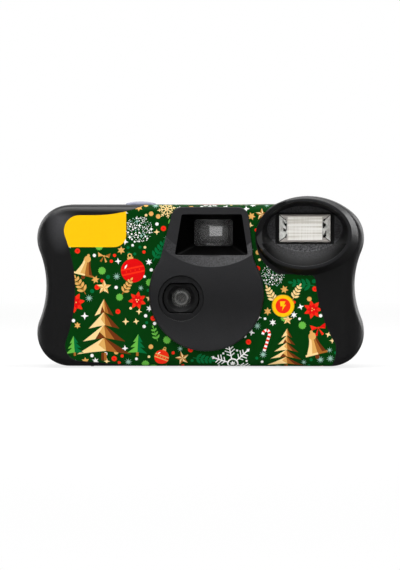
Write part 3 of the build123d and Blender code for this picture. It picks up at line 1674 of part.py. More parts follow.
def make_stop_plate():
    """The lens board behind the lens, with the fixed stop and its legs to the light box."""
    near = lens_y + lens_thickness
    board = slab(flat_sided(retainer_radius, retainer_flat), near, near + stop_plate_thickness)
    board -= peg(lens_x, lens_z, near - overrun, near + overrun, stop_radius)
    reach = retainer_radius - 3 * stop_leg_radius / 2
    for angle in stop_leg_angles:
        x = lens_x + reach * math.cos(math.radians(angle))
        z = lens_z + reach * math.sin(math.radians(angle))
        board += peg(x, z, near, box_front_y, stop_leg_radius)
    return board


def make_finder_front_lens():
    """The square hollow-ground lens at the front of the viewfinder."""
    near = funnel_end_y + 2 * clearance
    far = near + finder_lens_thickness
    gap = 2 * running_fit
    body = slab(plate(window_x, window_z, window_width + clearance - gap, window_height - gap), near, far)
    depth = finder_lens_thickness / 2
    ball_y = far - depth + finder_lens_hollow_radius
    ball = Pos(window_x, ball_y, window_z) * Sphere(finder_lens_hollow_radius)
    return body - ball


def make_finder_stop():
    """The black mask with a round-ended opening behind the front lens."""
    near = funnel_end_y + 2 * clearance + finder_lens_thickness
    gap = 2 * running_fit
    mask = plate(window_x, window_z, window_width + clearance - gap, window_height - gap)
    hole = plate(
        window_x, window_z, finder_stop_width, finder_stop_height, finder_stop_corner_radius
    )
    return slab(mask, near, near + finder_stop_thickness) - slab(
        hole, near - overrun, near + finder_stop_thickness + overrun
    )


def make_eye_lens():
    """The small round-fronted lens at the eye."""
    far = inner_back_y - clearance
    near = far - eye_lens_thickness
    gap = 2 * running_fit
    body = slab(plate(eyepiece_x, eyepiece_z, eyepiece_width - gap, eyepiece_height - gap), near, far)
    ball = Pos(eyepiece_x, near + eye_lens_dome_radius, eyepiece_z) * Sphere(eye_lens_dome_radius)
    return body & ball


# Flash electronics

def make_flash_button():
    """The flush round button under the flash, with a flange and a pin behind."""
    flange_near = inner_front_y + running_fit
    flange_far = flange_near + flash_button_flange_thickness
    button = peg(flash_button_x, flash_button_z, front_y, flange_near, flash_button_radius)
    edge = [e for e in button.edges() if e.bounding_box().max.Y < front_y + clearance]
    button = fillet(edge, clearance / 2)
    button += peg(
        flash_button_x, flash_button_z, flange_near, flange_far, flash_button_radius + flash_button_flange
    )
    pin_end = board_y - switch_dome_height - flash_button_travel - running_fit
    return button + peg(flash_button_x, flash_button_z, flange_far, pin_end, flash_button_pin_radius)


def make_switch_dome():
    """The thin metal dome that closes the flash's charging switch."""
    crown = switch_dome_height
    curve = (switch_dome_radius**2 + crown**2) / (2 * crown)
    ball = Pos(flash_button_x, board_y - crown + curve, flash_button_z) * Sphere(curve)
    return ball & peg(flash_button_x, flash_button_z, board_y - crown - overrun, board_y, switch_dome_radius)


def make_flash_board():
    """The circuit board with a hole for each lead of the lamp."""
    width = board_right_x - board_left_x
    height = board_high_z - board_low_z
    centre = plate((board_left_x + board_right_x) / 2, (board_low_z + board_high_z) / 2, width, height, wall)
    return slab(centre, board_y, board_y + board_thickness)


def make_capacitor():
    """The long round capacitor with its crimped end and two leads to the board."""
    right = capacitor_left_x + capacitor_length
    can = rod(capacitor_y, capacitor_z, capacitor_left_x, right, capacitor_radius)
    can = fillet([e for e in can.edges() if e.bounding_box().size.X < clearance], capacitor_groove)
    groove_left = right - 4 * frame_wall
    groove = rod(capacitor_y, capacitor_z, groove_left, groove_left + frame_wall, capacitor_radius + overrun)
    neck = capacitor_radius - capacitor_groove
    groove -= rod(capacitor_y, capacitor_z, groove_left, groove_left + frame_wall, neck)
    can -= groove
    lead = capacitor_lead_radius
    lead_y = board_y + board_thickness / 2
    for side in (-1, 1):
        z = capacitor_z + side * capacitor_radius / 3
        can += rod(lead_y, z, right, board_left_x, lead)
    return can


def make_transformer():
    """The step-up transformer: a ferrite block with a wound bobbin between two cheeks."""
    near = board_y + board_thickness
    far = near + transformer_depth
    cheek = transformer_height / 5
    core = block(
        transformer_x - transformer_width / 2, transformer_x + transformer_width / 2, near, far,
        transformer_z - transformer_height / 2, transformer_z + transformer_height / 2,
    )
    low = transformer_z - transformer_height / 2 + cheek
    high = transformer_z + transformer_height / 2 - cheek
    inset = transformer_depth / 8
    waist = block(
        transformer_x - transformer_width, transformer_x + transformer_width,
        near - overrun, far + overrun, low, high,
    )
    drum = block(
        transformer_x - transformer_width / 2 + inset, transformer_x + transformer_width / 2 - inset,
        near, far - inset, low, high,
    )
    return core - waist + drum


def make_trigger_coil():
    """The small upright coil that fires the tube."""
    y = board_y + board_thickness + trigger_coil_radius
    half = trigger_coil_length / 2
    coil = post(trigger_coil_x, y, trigger_coil_z - half, trigger_coil_z + half, trigger_coil_radius)
    waist = trigger_coil_length / 6
    winding = coil & post(
        trigger_coil_x, y, trigger_coil_z - half + waist, trigger_coil_z + half - waist, trigger_coil_radius
    )
    core = trigger_coil_radius * 4 / 5
    thin = post(trigger_coil_x, y, trigger_coil_z - half, trigger_coil_z + half, core)
    foot = trigger_coil_z - half
    head = trigger_coil_z + half
    low_cheek = post(trigger_coil_x, y, foot, foot + waist / 2, trigger_coil_radius)
    high_cheek = post(trigger_coil_x, y, head - waist / 2, head, trigger_coil_radius)
    return thin + winding + low_cheek + high_cheek


def make_transistor():
    """The switching transistor, flat on one side."""
    near = board_y + board_thickness
    half = transistor_width / 2
    body = block(
        transistor_x - half, transistor_x + half, near, near + transistor_depth,
        transistor_z - transistor_height / 2, transistor_z + transistor_height / 2,
    )
    back = [e for e in body.edges() if e.bounding_box().min.Y > near + transistor_depth - clearance]
    upright = [e for e in back if e.bounding_box().size.Z > clearance]
    return chamfer(upright, transistor_depth / 4)


def make_resistors():
    """The small banded resistors standing in a row on the board's front."""
    group = Part()
    y = board_y - resistor_radius
    half = resistor_length / 2
    for x in resistor_xs:
        body = post(x, y, resistor_z - half, resistor_z + half, resistor_radius)
        ends = [e for e in body.edges() if e.bounding_box().size.Z < clearance]
        group += fillet(ends, resistor_radius / 3)
    return group


def make_battery():
    """The AA cell with its positive nub on top."""
    high = battery_low_z + battery_length
    cell = post(battery_x, battery_y, battery_low_z, high, battery_radius)
    cell = fillet([e for e in cell.edges() if e.bounding_box().size.Z < clearance], clearance)
    return cell + post(battery_x, battery_y, high, high + battery_nub_height, battery_nub_radius)


def make_positive_contact():
    """The strip over the battery's nub that runs forward and down to the board."""
    low = battery_low_z + battery_length + battery_nub_height
    return contact_strip(low, low + contact_thickness)


def make_negative_contact():
    """The strip under the battery with a raised springy ring."""
    high = battery_low_z - contact_spring_height
    strip = contact_strip(high - contact_thickness, high)
    ring = post(battery_x, battery_y, high, battery_low_z, contact_spring_radius)
    bore = contact_spring_radius - contact_thickness
    return strip + ring - post(battery_x, battery_y, high, battery_low_z, bore)


def contact_strip(low, high):
    """A flat strip from the battery's axis to its front edge."""
    half = contact_width / 2
    return block(battery_x - half, battery_x + half, battery_y - battery_radius, battery_y + half, low, high)


def make_ready_lamp():
    """The small lamp on two long leads that glows when the flash is charged."""
    near = funnel_end_y + clearance
    lamp = peg(lamp_x, lamp_z, near, near + lamp_length, lamp_radius)
    far_edge = [e for e in lamp.edges() if e.bounding_box().min.Y > near + lamp_length - clearance]
    lamp = fillet(far_edge, lamp_radius / 3)
    for side in (-1, 1):
        x = lamp_x + side * lamp_radius / 2
        lead_y = board_y + board_thickness / 2
        lamp += post(x, lead_y, board_high_z, lamp_z - lamp_radius / 2, lamp_lead_radius)
    return lamp


def make_ready_light_pipe():
    """The clear rod that carries the lamp's glow to the back."""
    near = funnel_end_y + clearance + lamp_length + clearance
    pipe = peg(lamp_x, lamp_z, near, back_y, pipe_radius)
    far_edge = [e for e in pipe.edges() if e.bounding_box().min.Y > back_y - clearance]
    pipe = fillet(far_edge, clearance)
    head_far = inner_back_y - clearance
    return pipe + peg(lamp_x, lamp_z, head_far - wall, head_far, pipe_head_radius)


def make_sync_contacts():
    """Two thin strips from the board to the shutter that fire the flash."""
    left = lens_x - sync_strip_gap
    right = board_left_x + sync_strip_gap
    low = board_high_z - sync_strip_edge - sync_strip_width
    high = board_high_z - sync_strip_edge
    back = board_y + board_thickness
    strips = block(left, right, board_y - sync_strip_thickness, board_y, low, high)
    return strips + block(left, right, back, back + sync_strip_thickness, low, high)


# Every piece, under the name that its file takes

def pieces():
    """The solids of the camera by name."""
    return {
        "front_cover": make_front_cover(),
        "rear_cover": make_rear_cover(),
        "film_door": make_film_door(),
        "label_wrap": make_label(),
        "main_frame": make_main_frame(),
        "shutter_button": make_shutter_button(),
        "button_spring": make_button_spring(),
        "advance_wheel": make_advance_wheel(),
        "cassette_shell": make_cassette_shell(),
        "cassette_end_caps": make_cassette_caps(),
        "cassette_spool": make_cassette_spool(),
        "light_trap_felts": make_felts(),
        "film_strip": make_film_strip(),
        "film_roll": make_film_roll(),
        "supply_spool": make_supply_spool(),
        "sprocket_wheel": make_sprocket_wheel(),
        "counter_disc": make_counter_disc(),
        "counter_window": make_counter_window(),
        "striker_lever": make_striker_lever(),
        "striker_spring": make_striker_spring(),
        "metering_lever": make_metering_lever(),
        "metering_spring": make_metering_spring(),
        "shutter_blade": make_shutter_blade(),
        "taking_lens": make_taking_lens(),
        "lens_retainer": make_lens_retainer(),
        "stop_plate": make_stop_plate(),
        "viewfinder_front_lens": make_finder_front_lens(),
        "viewfinder_mask": make_finder_stop(),
        "viewfinder_eye_lens": make_eye_lens(),
        "flash_window": make_flash_window(),
        "flash_reflector": make_flash_reflector(),
        "flash_tube": make_flash_tube(),
        "flash_board": make_flash_board(),
        "flash_capacitor": make_capacitor(),
        "step_up_transformer": make_transformer(),
        "trigger_coil": make_trigger_coil(),
        "switching_transistor": make_transistor(),
        "board_resistors": make_resistors(),
        "flash_button": make_flash_button(),
        "switch_dome": make_switch_dome(),
        "ready_lamp": make_ready_lamp(),
        "ready_light_pipe": make_ready_light_pipe(),
        "sync_contacts": make_sync_contacts(),
        "battery": make_battery(),
        "battery_contact_positive": make_positive_contact(),
        "battery_contact_negative": make_negative_contact(),
    }


os.makedirs("parts", exist_ok=True)
for name, solid in pieces().items():
    export_step(solid, f"parts/{name}.step")
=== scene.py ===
import math

import bpy
import numpy as np
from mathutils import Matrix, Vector
from mathutils.geometry import delaunay_2d_cdt


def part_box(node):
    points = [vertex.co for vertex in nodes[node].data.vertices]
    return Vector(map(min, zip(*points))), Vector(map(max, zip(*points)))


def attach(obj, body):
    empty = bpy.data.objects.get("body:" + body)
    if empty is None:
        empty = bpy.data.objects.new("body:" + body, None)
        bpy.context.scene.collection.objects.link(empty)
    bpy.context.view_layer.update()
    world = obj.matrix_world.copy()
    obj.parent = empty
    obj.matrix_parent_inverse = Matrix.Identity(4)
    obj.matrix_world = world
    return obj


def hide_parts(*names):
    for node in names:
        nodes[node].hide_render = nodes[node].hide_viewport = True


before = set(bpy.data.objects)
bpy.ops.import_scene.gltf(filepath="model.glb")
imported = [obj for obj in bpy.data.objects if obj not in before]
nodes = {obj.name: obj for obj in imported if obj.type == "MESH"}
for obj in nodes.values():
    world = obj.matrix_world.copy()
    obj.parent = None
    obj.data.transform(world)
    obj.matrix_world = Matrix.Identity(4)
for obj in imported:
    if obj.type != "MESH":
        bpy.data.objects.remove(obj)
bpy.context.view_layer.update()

MM = 0.001

# The printed wrap's profile, seen from the side: a closed band with four round edges
wrap_low, wrap_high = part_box("label_wrap")
FRONT_EDGE = 2.6 * MM
BACK_EDGE = 3.0 * MM
PAPER = 0.2 * MM
FRONT_Y = wrap_low.y
BACK_Y = wrap_high.y
BASE_Z = wrap_low.z
TOP_Z = 58.8 * MM
EDGE_STEPS = 9

# The wrap's top line rises to the flash along a circle that starts here
CROWN_X = 25.53 * MM
CROWN_RADIUS = 4.0 * MM

# The viewfinder's funnel, the flash's bowl and the lens, where the case's finish changes
FUNNEL_Y = -15.15 * MM
FUNNEL_LOW_Z = 40.75 * MM
FUNNEL_HIGH_Z = 55.45 * MM
FUNNEL_LEFT_X = (-9.1 * MM, -6.6 * MM)
FUNNEL_RIGHT_X = (17.3 * MM, 15.1 * MM)
BOWL_OVAL = (37.5 * MM, 48.5 * MM, 16.0 * MM, 11.8 * MM)
BOSS_OVAL = (38.5 * MM, 47.6 * MM, 18.6 * MM, 14.2 * MM)
BOWL_RIM_Y = -16.9 * MM
BOWL_FLOOR_Y = -12.0 * MM
LENS_X = -6.8 * MM
LENS_Z = 25.25 * MM
LENS_GROOVE = 8.25 * MM
PANE_X = 37.7 * MM
PANE_Z = 50.4 * MM

# Inks of the wrap, as red, green and blue on a screen from 0 to 255
INKS = {
    "ground": (0, 60, 8),
    "pine": (0, 112, 58),
    "leaf": (104, 186, 70),
    "frost": (150, 190, 175),
    "red": (244, 44, 18),
    "deep_red": (226, 8, 10),
    "gold": (226, 172, 92),
    "cream": (250, 218, 152),
    "bronze": (170, 104, 40),
    "umber": (112, 52, 16),
    "white": (246, 246, 244),
    "yellow": (255, 198, 10),
    "paper": (232, 230, 222),
}


# Colours, points, meshes and objects

def screen_colour(red, green, blue):
    """A colour of a screen as linear light: each channel goes through the screen's transfer curve."""
    shares = np.array((red, green, blue)) / 255
    linear = np.where(shares <= 0.04045, shares / 12.92, ((shares + 0.055) / 1.055) ** 2.4)
    return (*linear.tolist(), 1.0)


def turned(points, degrees):
    """The points turned about zero: each is multiplied by the matrix of the angle."""
    angle = math.radians(degrees)
    cosine, sine = math.cos(angle), math.sin(angle)
    return points @ np.array([[cosine, sine], [-sine, cosine]])


def new_mesh(name, places, faces):
    """A mesh of points and faces."""
    mesh = bpy.data.meshes.new(name)
    mesh.from_pydata(places, [], faces)
    return mesh


def new_object(name, data):
    """An object of the scene, from a mesh, a lamp's data or a camera's."""
    made = bpy.data.objects.new(name, data)
    bpy.context.scene.collection.objects.link(made)
    return made


def corners_of(mesh):
    """The places of a mesh's points, one row each."""
    places = np.empty(len(mesh.vertices) * 3)
    mesh.vertices.foreach_get("co", places)
    return places.reshape(-1, 3)


# Motifs of the wrap, each a list of inks and outlines in a circle of radius one

FOIL = ("cream", "gold", "bronze", "umber")


def disc(radius=1.0, x=0.0, z=0.0, corners=20):
    """A circle: the points at equal steps of the angle."""
    angle = np.arange(corners) * 2 * math.pi / corners
    return np.stack([x + radius * np.cos(angle), z + radius * np.sin(angle)], axis=1)


def star(tips, valley, radius=1.0):
    """A star: points at equal steps of the angle, at radius and at valley times radius by turns."""
    angle = math.pi / 2 + np.arange(2 * tips) * math.pi / tips
    reach = np.where(np.arange(2 * tips) % 2 == 0, radius, radius * valley)
    return np.stack([reach * np.cos(angle), reach * np.sin(angle)], axis=1)


def petal(length, width, degrees, steps=7):
    """A leaf on its tip: the half width follows the sine of the place along the leaf, to the power 0.8."""
    place = np.linspace(0, 1, steps)
    half = width / 2 * np.sin(math.pi * place) ** 0.8
    along = place * length
    outline = np.concatenate([np.stack([along, half], 1), np.stack([along, -half], 1)[::-1][1:-1]])
    return turned(outline, degrees)


def bar(x0, x1, z0, z1, degrees=0.0):
    """A rectangle between two corners, turned about zero."""
    return turned(np.array([(x0, z0), (x1, z0), (x1, z1), (x0, z1)]), degrees)


def round_dot(ink):
    """One round dot."""
    return [(ink, disc(corners=14))]


def ringed_dot(ink, centre_ink):
    """A dot with a small dot in its middle."""
    return [(ink, disc(corners=18)), (centre_ink, disc(0.34, corners=10))]


def plain_star(ink, tips, valley):
    """One flat star."""
    return [(ink, star(tips, valley))]


def cut_star(tips, valley, light, dark):
    """A star cut like a gem: each tip is one light and one dark triangle that meet on its ridge."""
    outline = star(tips, valley)
    facets = []
    for index, (corner, after) in enumerate(zip(outline, np.roll(outline, -1, axis=0))):
        facets.append((light if index % 2 else dark, np.array([(0.0, 0.0), corner, after])))
    return facets


def twigs(ink, pairs, half, slant, angle):
    """Pairs of short bars that slant from an arm at the angle, each pair at its place along the arm."""
    parts = []
    for place, length in pairs:
        for side in (-1, 1):
            twig = bar(0.0, length, -half, half, side * slant) + np.array([place, 0.0])
            parts.append((ink, turned(twig, angle)))
    return parts


def frost_star(ink, arms, core_ink=None):
    """A frost star: bars at equal angles, each with two pairs of short slanting twigs."""
    parts = []
    for index in range(arms):
        angle = 90 + index * 360 / arms
        parts.append((ink, bar(0.0, 1.0, -0.045, 0.045, angle)))
        parts += twigs(ink, ((0.42, 0.3), (0.68, 0.22)), 0.035, 52, angle)
    parts.append((ink, disc(0.17, corners=12)))
    if core_ink:
        parts.append((core_ink, disc(0.09, corners=10)))
    return parts


def great_frost_star(ink, ground):
    """A large frost star: six bars with twigs and a lozenge at the end, a dot between each two of them, and
    a ring round a small star in the middle."""
    parts = []
    lozenge = np.array([(0.8, 0.0), (0.9, 0.075), (1.0, 0.0), (0.9, -0.075)])
    for angle in range(30, 390, 60):
        parts += [(ink, bar(0.16, 0.86, -0.028, 0.028, angle)), (ink, turned(lozenge, angle))]
        parts += twigs(ink, ((0.36, 0.2), (0.5, 0.26), (0.64, 0.2)), 0.022, 60, angle)
        parts.append((ink, turned(disc(0.05, 0.62, 0.0, 8), angle + 30)))
    parts.append((ink, disc(0.25, corners=24)))
    parts.append((ground, disc(0.19, corners=24)))
    parts.append((ink, star(6, 0.5, 0.14)))
    return parts


def fir_tree(light, dark, trunk, tiers):
    """A fir of tiers: each tier is a wide low triangle, light on its left half and dark on its right."""
    parts = [(trunk, bar(-0.09, 0.09, -1.0, -0.7))]
    for tier in range(tiers):
        low = -0.78 + tier * 1.3 / tiers
        high = low + 1.9 / tiers
        half = 0.78 * (1 - tier / (tiers + 0.8))
        parts.append((dark, np.array([(0.0, low + 0.07), (half, low), (0.0, high)])))
        parts.append((light, np.array([(-half, low), (0.0, low + 0.07), (0.0, high)])))
    return parts


def cut_fir(tiers=4):
    """A tall fir folded from gold foil: each tier has four facets from cream to umber, under a cut star."""
    parts = [("umber", bar(-0.07, 0.0, -1.0, -0.8)), ("bronze", bar(0.0, 0.07, -1.0, -0.8))]
    for tier in range(tiers):
        low = -0.84 + tier * 1.36 / tiers
        high = low + 1.8 / tiers
        half = 0.72 * (1 - tier / (tiers + 0.6))
        peak = np.array([0.0, high])
        knots = [np.array([share * half, low + 0.1 * (1 - abs(share))])
                 for share in (-1, -0.42, 0.08, 0.5, 1)]
        for ink, left, right in zip(FOIL, knots[:-1], knots[1:]):
            parts.append((ink, np.array([left, right, peak])))
        fold = np.array([knots[1], knots[2], (knots[1] + peak) / 2])
        parts.append(("umber" if tier % 2 else "cream", fold))
    for ink, facet in cut_star(5, 0.45, "cream", "gold"):
        parts.append((ink, facet * 0.2 + np.array([0.0, 0.94])))
    return parts


def bauble(ink, band_ink, cap_ink):
    """A round bauble with a cap, a ring, two bands and a window of light."""
    ball = disc(0.8, 0.0, -0.2, 28)
    parts = [(cap_ink, disc(0.16, 0.0, 0.82, 12)), ("ground", disc(0.08, 0.0, 0.82, 10))]
    parts += [(cap_ink, bar(-0.2, 0.2, 0.5, 0.72)), (ink, ball)]
    for low, high in ((-0.42, -0.3), (-0.08, 0.04)):
        reach_low = math.sqrt(0.64 - (low + 0.2) ** 2)
        reach_high = math.sqrt(0.64 - (high + 0.2) ** 2)
        band = np.array([(-reach_low, low), (reach_low, low), (reach_high, high), (-reach_high, high)])
        parts.append((band_ink, band))
    for x in (-0.45, -0.15, 0.15, 0.45):
        parts.append((band_ink, disc(0.05, x, -0.19, 8)))
    parts.append(("white", petal(0.34, 0.1, 50) + np.array([-0.52, 0.02])))
    return parts


def bell():
    """A bell folded from foil: its side follows a cosine flare, in four upright facets, over a rim."""
    parts = [("umber", disc(0.15, 0.0, -0.86, 12))]
    height = np.linspace(-0.6, 0.6, 9)
    half = 0.26 + 0.42 * (1 - np.cos(np.clip((0.6 - height) / 1.2, 0, 1) * math.pi * 0.62)) / 1.37
    folds = (-1, -0.45, 0.1, 0.6, 1)
    for ink, left, right in zip(FOIL, folds[:-1], folds[1:]):
        side = np.concatenate([np.stack([left * half, height], 1), np.stack([right * half, height], 1)[::-1]])
        parts.append((ink, side))
    parts += [("gold", disc(0.26, 0.0, 0.6, 16)), ("cream", bar(-0.78, 0.1, -0.72, -0.58))]
    parts += [("bronze", bar(0.1, 0.78, -0.72, -0.58)), ("gold", disc(0.11, 0.0, 0.9, 12))]
    return parts


def candy_cane(ink):
    """A cane: quads along a straight stick and a half circle, in the ink and in white by turns."""
    stick = np.stack([np.full(9, 0.3), np.linspace(-1.0, 0.45, 9)], 1)
    angle = np.linspace(0, math.pi * 1.05, 8)[1:]
    hook = np.stack([0.3 * np.cos(angle), 0.45 + 0.42 * np.sin(angle)], 1)
    path = np.concatenate([stick, hook])
    run = np.gradient(path, axis=0)
    side = np.stack([-run[:, 1], run[:, 0]], 1) / np.linalg.norm(run, axis=1)[:, None] * 0.13
    quads = []
    for index in range(len(path) - 1):
        outline = [path[index] - side[index], path[index + 1] - side[index + 1]]
        outline += [path[index + 1] + side[index + 1], path[index] + side[index]]
        quads.append((ink if index % 2 else "white", np.array(outline)))
    return quads


def sprig(ink, leaf_ink, pairs=4):
    """A twig of leaves: pairs of petals that shorten to the tip, along a thin stem."""
    parts = [(ink, bar(-1.0, 0.9, -0.035, 0.035))]
    for index in range(pairs):
        place = -0.7 + index * 1.45 / pairs
        for side in (-1, 1):
            leaf = petal(0.62 - 0.08 * index, 0.24, side * 48) + np.array([place, 0.0])
            parts.append((leaf_ink, leaf))
    parts.append((leaf_ink, petal(0.4, 0.2, 0) + np.array([0.62, 0.0])))
    return parts


def flower(ink, inner_ink, heart_ink, petals=7):
    """A winter flower: two rings of petals round a heart of dots."""
    parts = [(ink, petal(1.0, 0.42, index * 360 / petals)) for index in range(petals)]
    turn = 180 / petals
    parts += [(inner_ink, petal(0.66, 0.3, turn + index * 360 / petals)) for index in range(petals)]
    parts += [(heart_ink, disc(0.07, 0.14 * math.cos(a), 0.14 * math.sin(a), 8)) for a in range(0, 6, 2)]
    return parts


def bow(light, dark):
    """A ribbon bow: two folded loops and two tails from one knot."""
    parts = []
    for side, ink, shade in ((-1, light, dark), (1, dark, light)):
        loop = np.array([(0.0, 0.0), (side * 0.95, 0.5), (side * 0.8, -0.2)])
        fold = np.array([(0.0, 0.0), (side * 0.8, -0.2), (side * 0.55, 0.02)])
        tail = np.array([(0.0, 0.0), (side * 0.28, -0.95), (side * 0.55, -0.8)])
        parts += [(ink, loop), (shade, fold), (shade, tail)]
    parts.append((light, disc(0.13, corners=10)))
    return parts


CLOUD_DOTS = 120
CLOUD_EDGE = math.sqrt(0.92)
CLOUD_GAP = 0.015
DOT_SIZES = [0.03, 0.045, 0.07, 0.1]
DOT_SHARES = [0.4, 0.3, 0.2, 0.1]


def round_cloud(seed):
    """A bauble of dots that don't touch, at random places in a circle: the largest are small stars, and
    every fifth one is frost."""
    draw = np.random.default_rng(seed)
    kept = []
    while len(kept) < CLOUD_DOTS:
        x, z = draw.uniform(-1, 1, 2)
        radius = draw.choice(DOT_SIZES, p=DOT_SHARES)
        clear = all(math.hypot(x - a, z - b) > radius + r + CLOUD_GAP for a, b, r in kept)
        if math.hypot(x, z) < CLOUD_EDGE and clear:
            kept.append((x, z, radius))
    parts = []
    for index, (x, z, radius) in enumerate(kept):
        largest = radius == DOT_SIZES[-1]
        shape = star(4, 0.4, radius * 1.6) + np.array([x, z]) if largest else disc(radius, x, z, 8)
        parts.append(("frost" if index % 5 == 4 else "white", shape))
    return parts


# The wrap's flat pattern. A point of it is x and v, where v is the length along the side profile:
# z up the front, then back over the top, down the back, and below the front's foot under the base

BEND_FRONT = FRONT_EDGE * math.pi / 2
BEND_BACK = BACK_EDGE * math.pi / 2
FACE_LOW = BASE_Z + FRONT_EDGE
FACE_HIGH = TOP_Z - FRONT_EDGE
NEAR_Y = FRONT_Y + FRONT_EDGE
FAR_Y = BACK_Y - BACK_EDGE
TOP_START = FACE_HIGH + BEND_FRONT
TOP_END = TOP_START + FAR_Y - NEAR_Y
REAR_START = TOP_END + BEND_BACK
REAR_LOW = BASE_Z + BACK_EDGE
REAR_HIGH = TOP_Z - BACK_EDGE
REAR_END = REAR_START + REAR_HIGH - REAR_LOW
BAND_END = REAR_END + BEND_BACK
BASE_START = FACE_LOW - BEND_FRONT
BAND_START = BASE_START - (FAR_Y - NEAR_Y)
STRETCHES = (BAND_START, BASE_START, FACE_LOW, FACE_HIGH, TOP_START, TOP_END, REAR_START, REAR_END,
             BAND_END)

# Corners of the wrap nearer than this are one corner
WELD_STEP = MM / 500

# The smallest share of a face's normal along the profile's that puts it on the outer skin
SKIN_SHARE = 0.5

# Points of the cut sheet nearer than this, in millimetres, are one point
CUT_STEP = 1e-5

# The print's edges are sharp where its faces turn by more than this
SHARP_DEGREES = 35


def stretch_of(y, z):
    """Which of the profile's eight stretches each point of the wrap lies on, counted from the base."""
    low, high = z < FACE_LOW, z > FACE_HIGH
    rear_low, rear_high = z < REAR_LOW, z > REAR_HIGH
    near, far = y < NEAR_Y, y > FAR_Y
    middle = ~near & ~far
    upper = z > (BASE_Z + TOP_Z) / 2
    tests = [middle & ~upper, near & low, near & ~low & ~high, near & high]
    tests += [middle & upper, far & rear_high, far & ~rear_low & ~rear_high, far & rear_low]
    return np.select(tests, list(range(8)))


def length_along(y, z, stretch):
    """v of points on a known stretch: a straight one adds the distance, a bend its radius times the angle."""
    lengths = [
        BASE_START - (y - NEAR_Y),
        FACE_LOW - FRONT_EDGE * np.arctan2(FACE_LOW - z, NEAR_Y - y),
        z,
        FACE_HIGH + FRONT_EDGE * np.arctan2(z - FACE_HIGH, NEAR_Y - y),
        TOP_START + y - NEAR_Y,
        TOP_END + BACK_EDGE * np.arctan2(y - FAR_Y, z - REAR_HIGH),
        REAR_START + REAR_HIGH - z,
        REAR_END + BACK_EDGE * np.arctan2(REAR_LOW - z, y - FAR_Y),
    ]
    return np.choose(stretch, lengths)


def wrap_surface(x, v):
    """Places and outward directions of pattern points: v is rolled back round the profile, and the top
    line rises towards the flash as the gap between a circle and its tangent."""
    stretch = np.clip(np.searchsorted(STRETCHES, v, side="right") - 1, 0, 7)
    fold_low = (FACE_LOW - v) / FRONT_EDGE
    fold_high = (v - FACE_HIGH) / FRONT_EDGE
    fold_back = (v - TOP_END) / BACK_EDGE
    fold_foot = (v - REAR_END) / BACK_EDGE
    zero, one = np.zeros_like(v), np.ones_like(v)
    out_y = np.choose(stretch, [zero, -np.cos(fold_low), -one, -np.cos(fold_high), zero, np.sin(fold_back),
                                one, np.cos(fold_foot)])
    out_z = np.choose(stretch, [-one, -np.sin(fold_low), zero, np.sin(fold_high), one, np.cos(fold_back),
                                zero, -np.sin(fold_foot)])
    y = np.choose(stretch, [NEAR_Y + BASE_START - v, NEAR_Y + FRONT_EDGE * out_y, FRONT_Y * one,
                            NEAR_Y + FRONT_EDGE * out_y, NEAR_Y + v - TOP_START, FAR_Y + BACK_EDGE * out_y,
                            BACK_Y * one, FAR_Y + BACK_EDGE * out_y])
    z = np.choose(stretch, [BASE_Z * one, FACE_LOW + FRONT_EDGE * out_z, v, FACE_HIGH + FRONT_EDGE * out_z,
                            TOP_Z * one, REAR_HIGH + BACK_EDGE * out_z, REAR_HIGH - (v - REAR_START),
                            REAR_LOW + BACK_EDGE * out_z])
    past = np.clip(x - CROWN_X, 0, CROWN_RADIUS)
    rise = CROWN_RADIUS - np.sqrt(CROWN_RADIUS**2 - past**2)
    z = z + rise * np.clip(out_z, 0, 1)
    return np.stack([x, y, z], 1), np.stack([zero, out_y, out_z], 1)


def outer_skin(mesh):
    """The wrap's outer skin as flat triangles of the pattern: the faces whose normal agrees with the
    profile's, each corner at its x and v."""
    mesh.calc_loop_triangles()
    corners = np.empty(len(mesh.loop_triangles) * 3, int)
    mesh.loop_triangles.foreach_get("vertices", corners)
    faces = corners_of(mesh)[corners.reshape(-1, 3)]
    across = np.cross(faces[:, 1] - faces[:, 0], faces[:, 2] - faces[:, 0])
    area = np.linalg.norm(across, axis=1)
    faces, across = faces[area > 0], across[area > 0] / area[area > 0][:, None]
    middle = faces.mean(axis=1)
    stretch = stretch_of(middle[:, 1], middle[:, 2])
    outward = wrap_surface(middle[:, 0], length_along(middle[:, 1], middle[:, 2], stretch))[1]
    outer = (across * outward).sum(axis=1) > SKIN_SHARE
    skin, stretch = faces[outer], stretch[outer]
    v = length_along(skin[:, :, 1], skin[:, :, 2], np.repeat(stretch[:, None], 3, axis=1))
    return np.stack([skin[:, :, 0], v], axis=2)


def outlines_of(flat):
    """The closed outlines of flat triangles, the longest first. An outline is a chain of the edges that
    have one triangle, with corners rounded to the weld step so that neighbours agree."""
    follows = {}
    for face in np.round(flat / WELD_STEP).astype(int):
        for corner in range(3):
            start, end = tuple(face[corner]), tuple(face[(corner + 1) % 3])
            if start != end and (end, start) in follows:
                del follows[(end, start)]
            elif start != end:
                follows[(start, end)] = True
    after = {start: end for start, end in follows}
    outlines = []
    while after:
        start, corner = next(iter(after.items()))
        chain = [start]
        del after[start]
        while corner != start and corner in after:
            chain.append(corner)
            corner = after.pop(corner)
        outlines.append(np.array(chain) * WELD_STEP)
    return sorted(outlines, key=lambda chain: -np.ptp(chain[:, 1]))


def anticlockwise(loop):
    """The loop, turned round if its signed area, half the sum of the cross products, is below zero."""
    after = np.roll(loop, -1, axis=0)
    return loop if (loop[:, 0] * after[:, 1] - after[:, 0] * loop[:, 1]).sum() > 0 else loop[::-1]


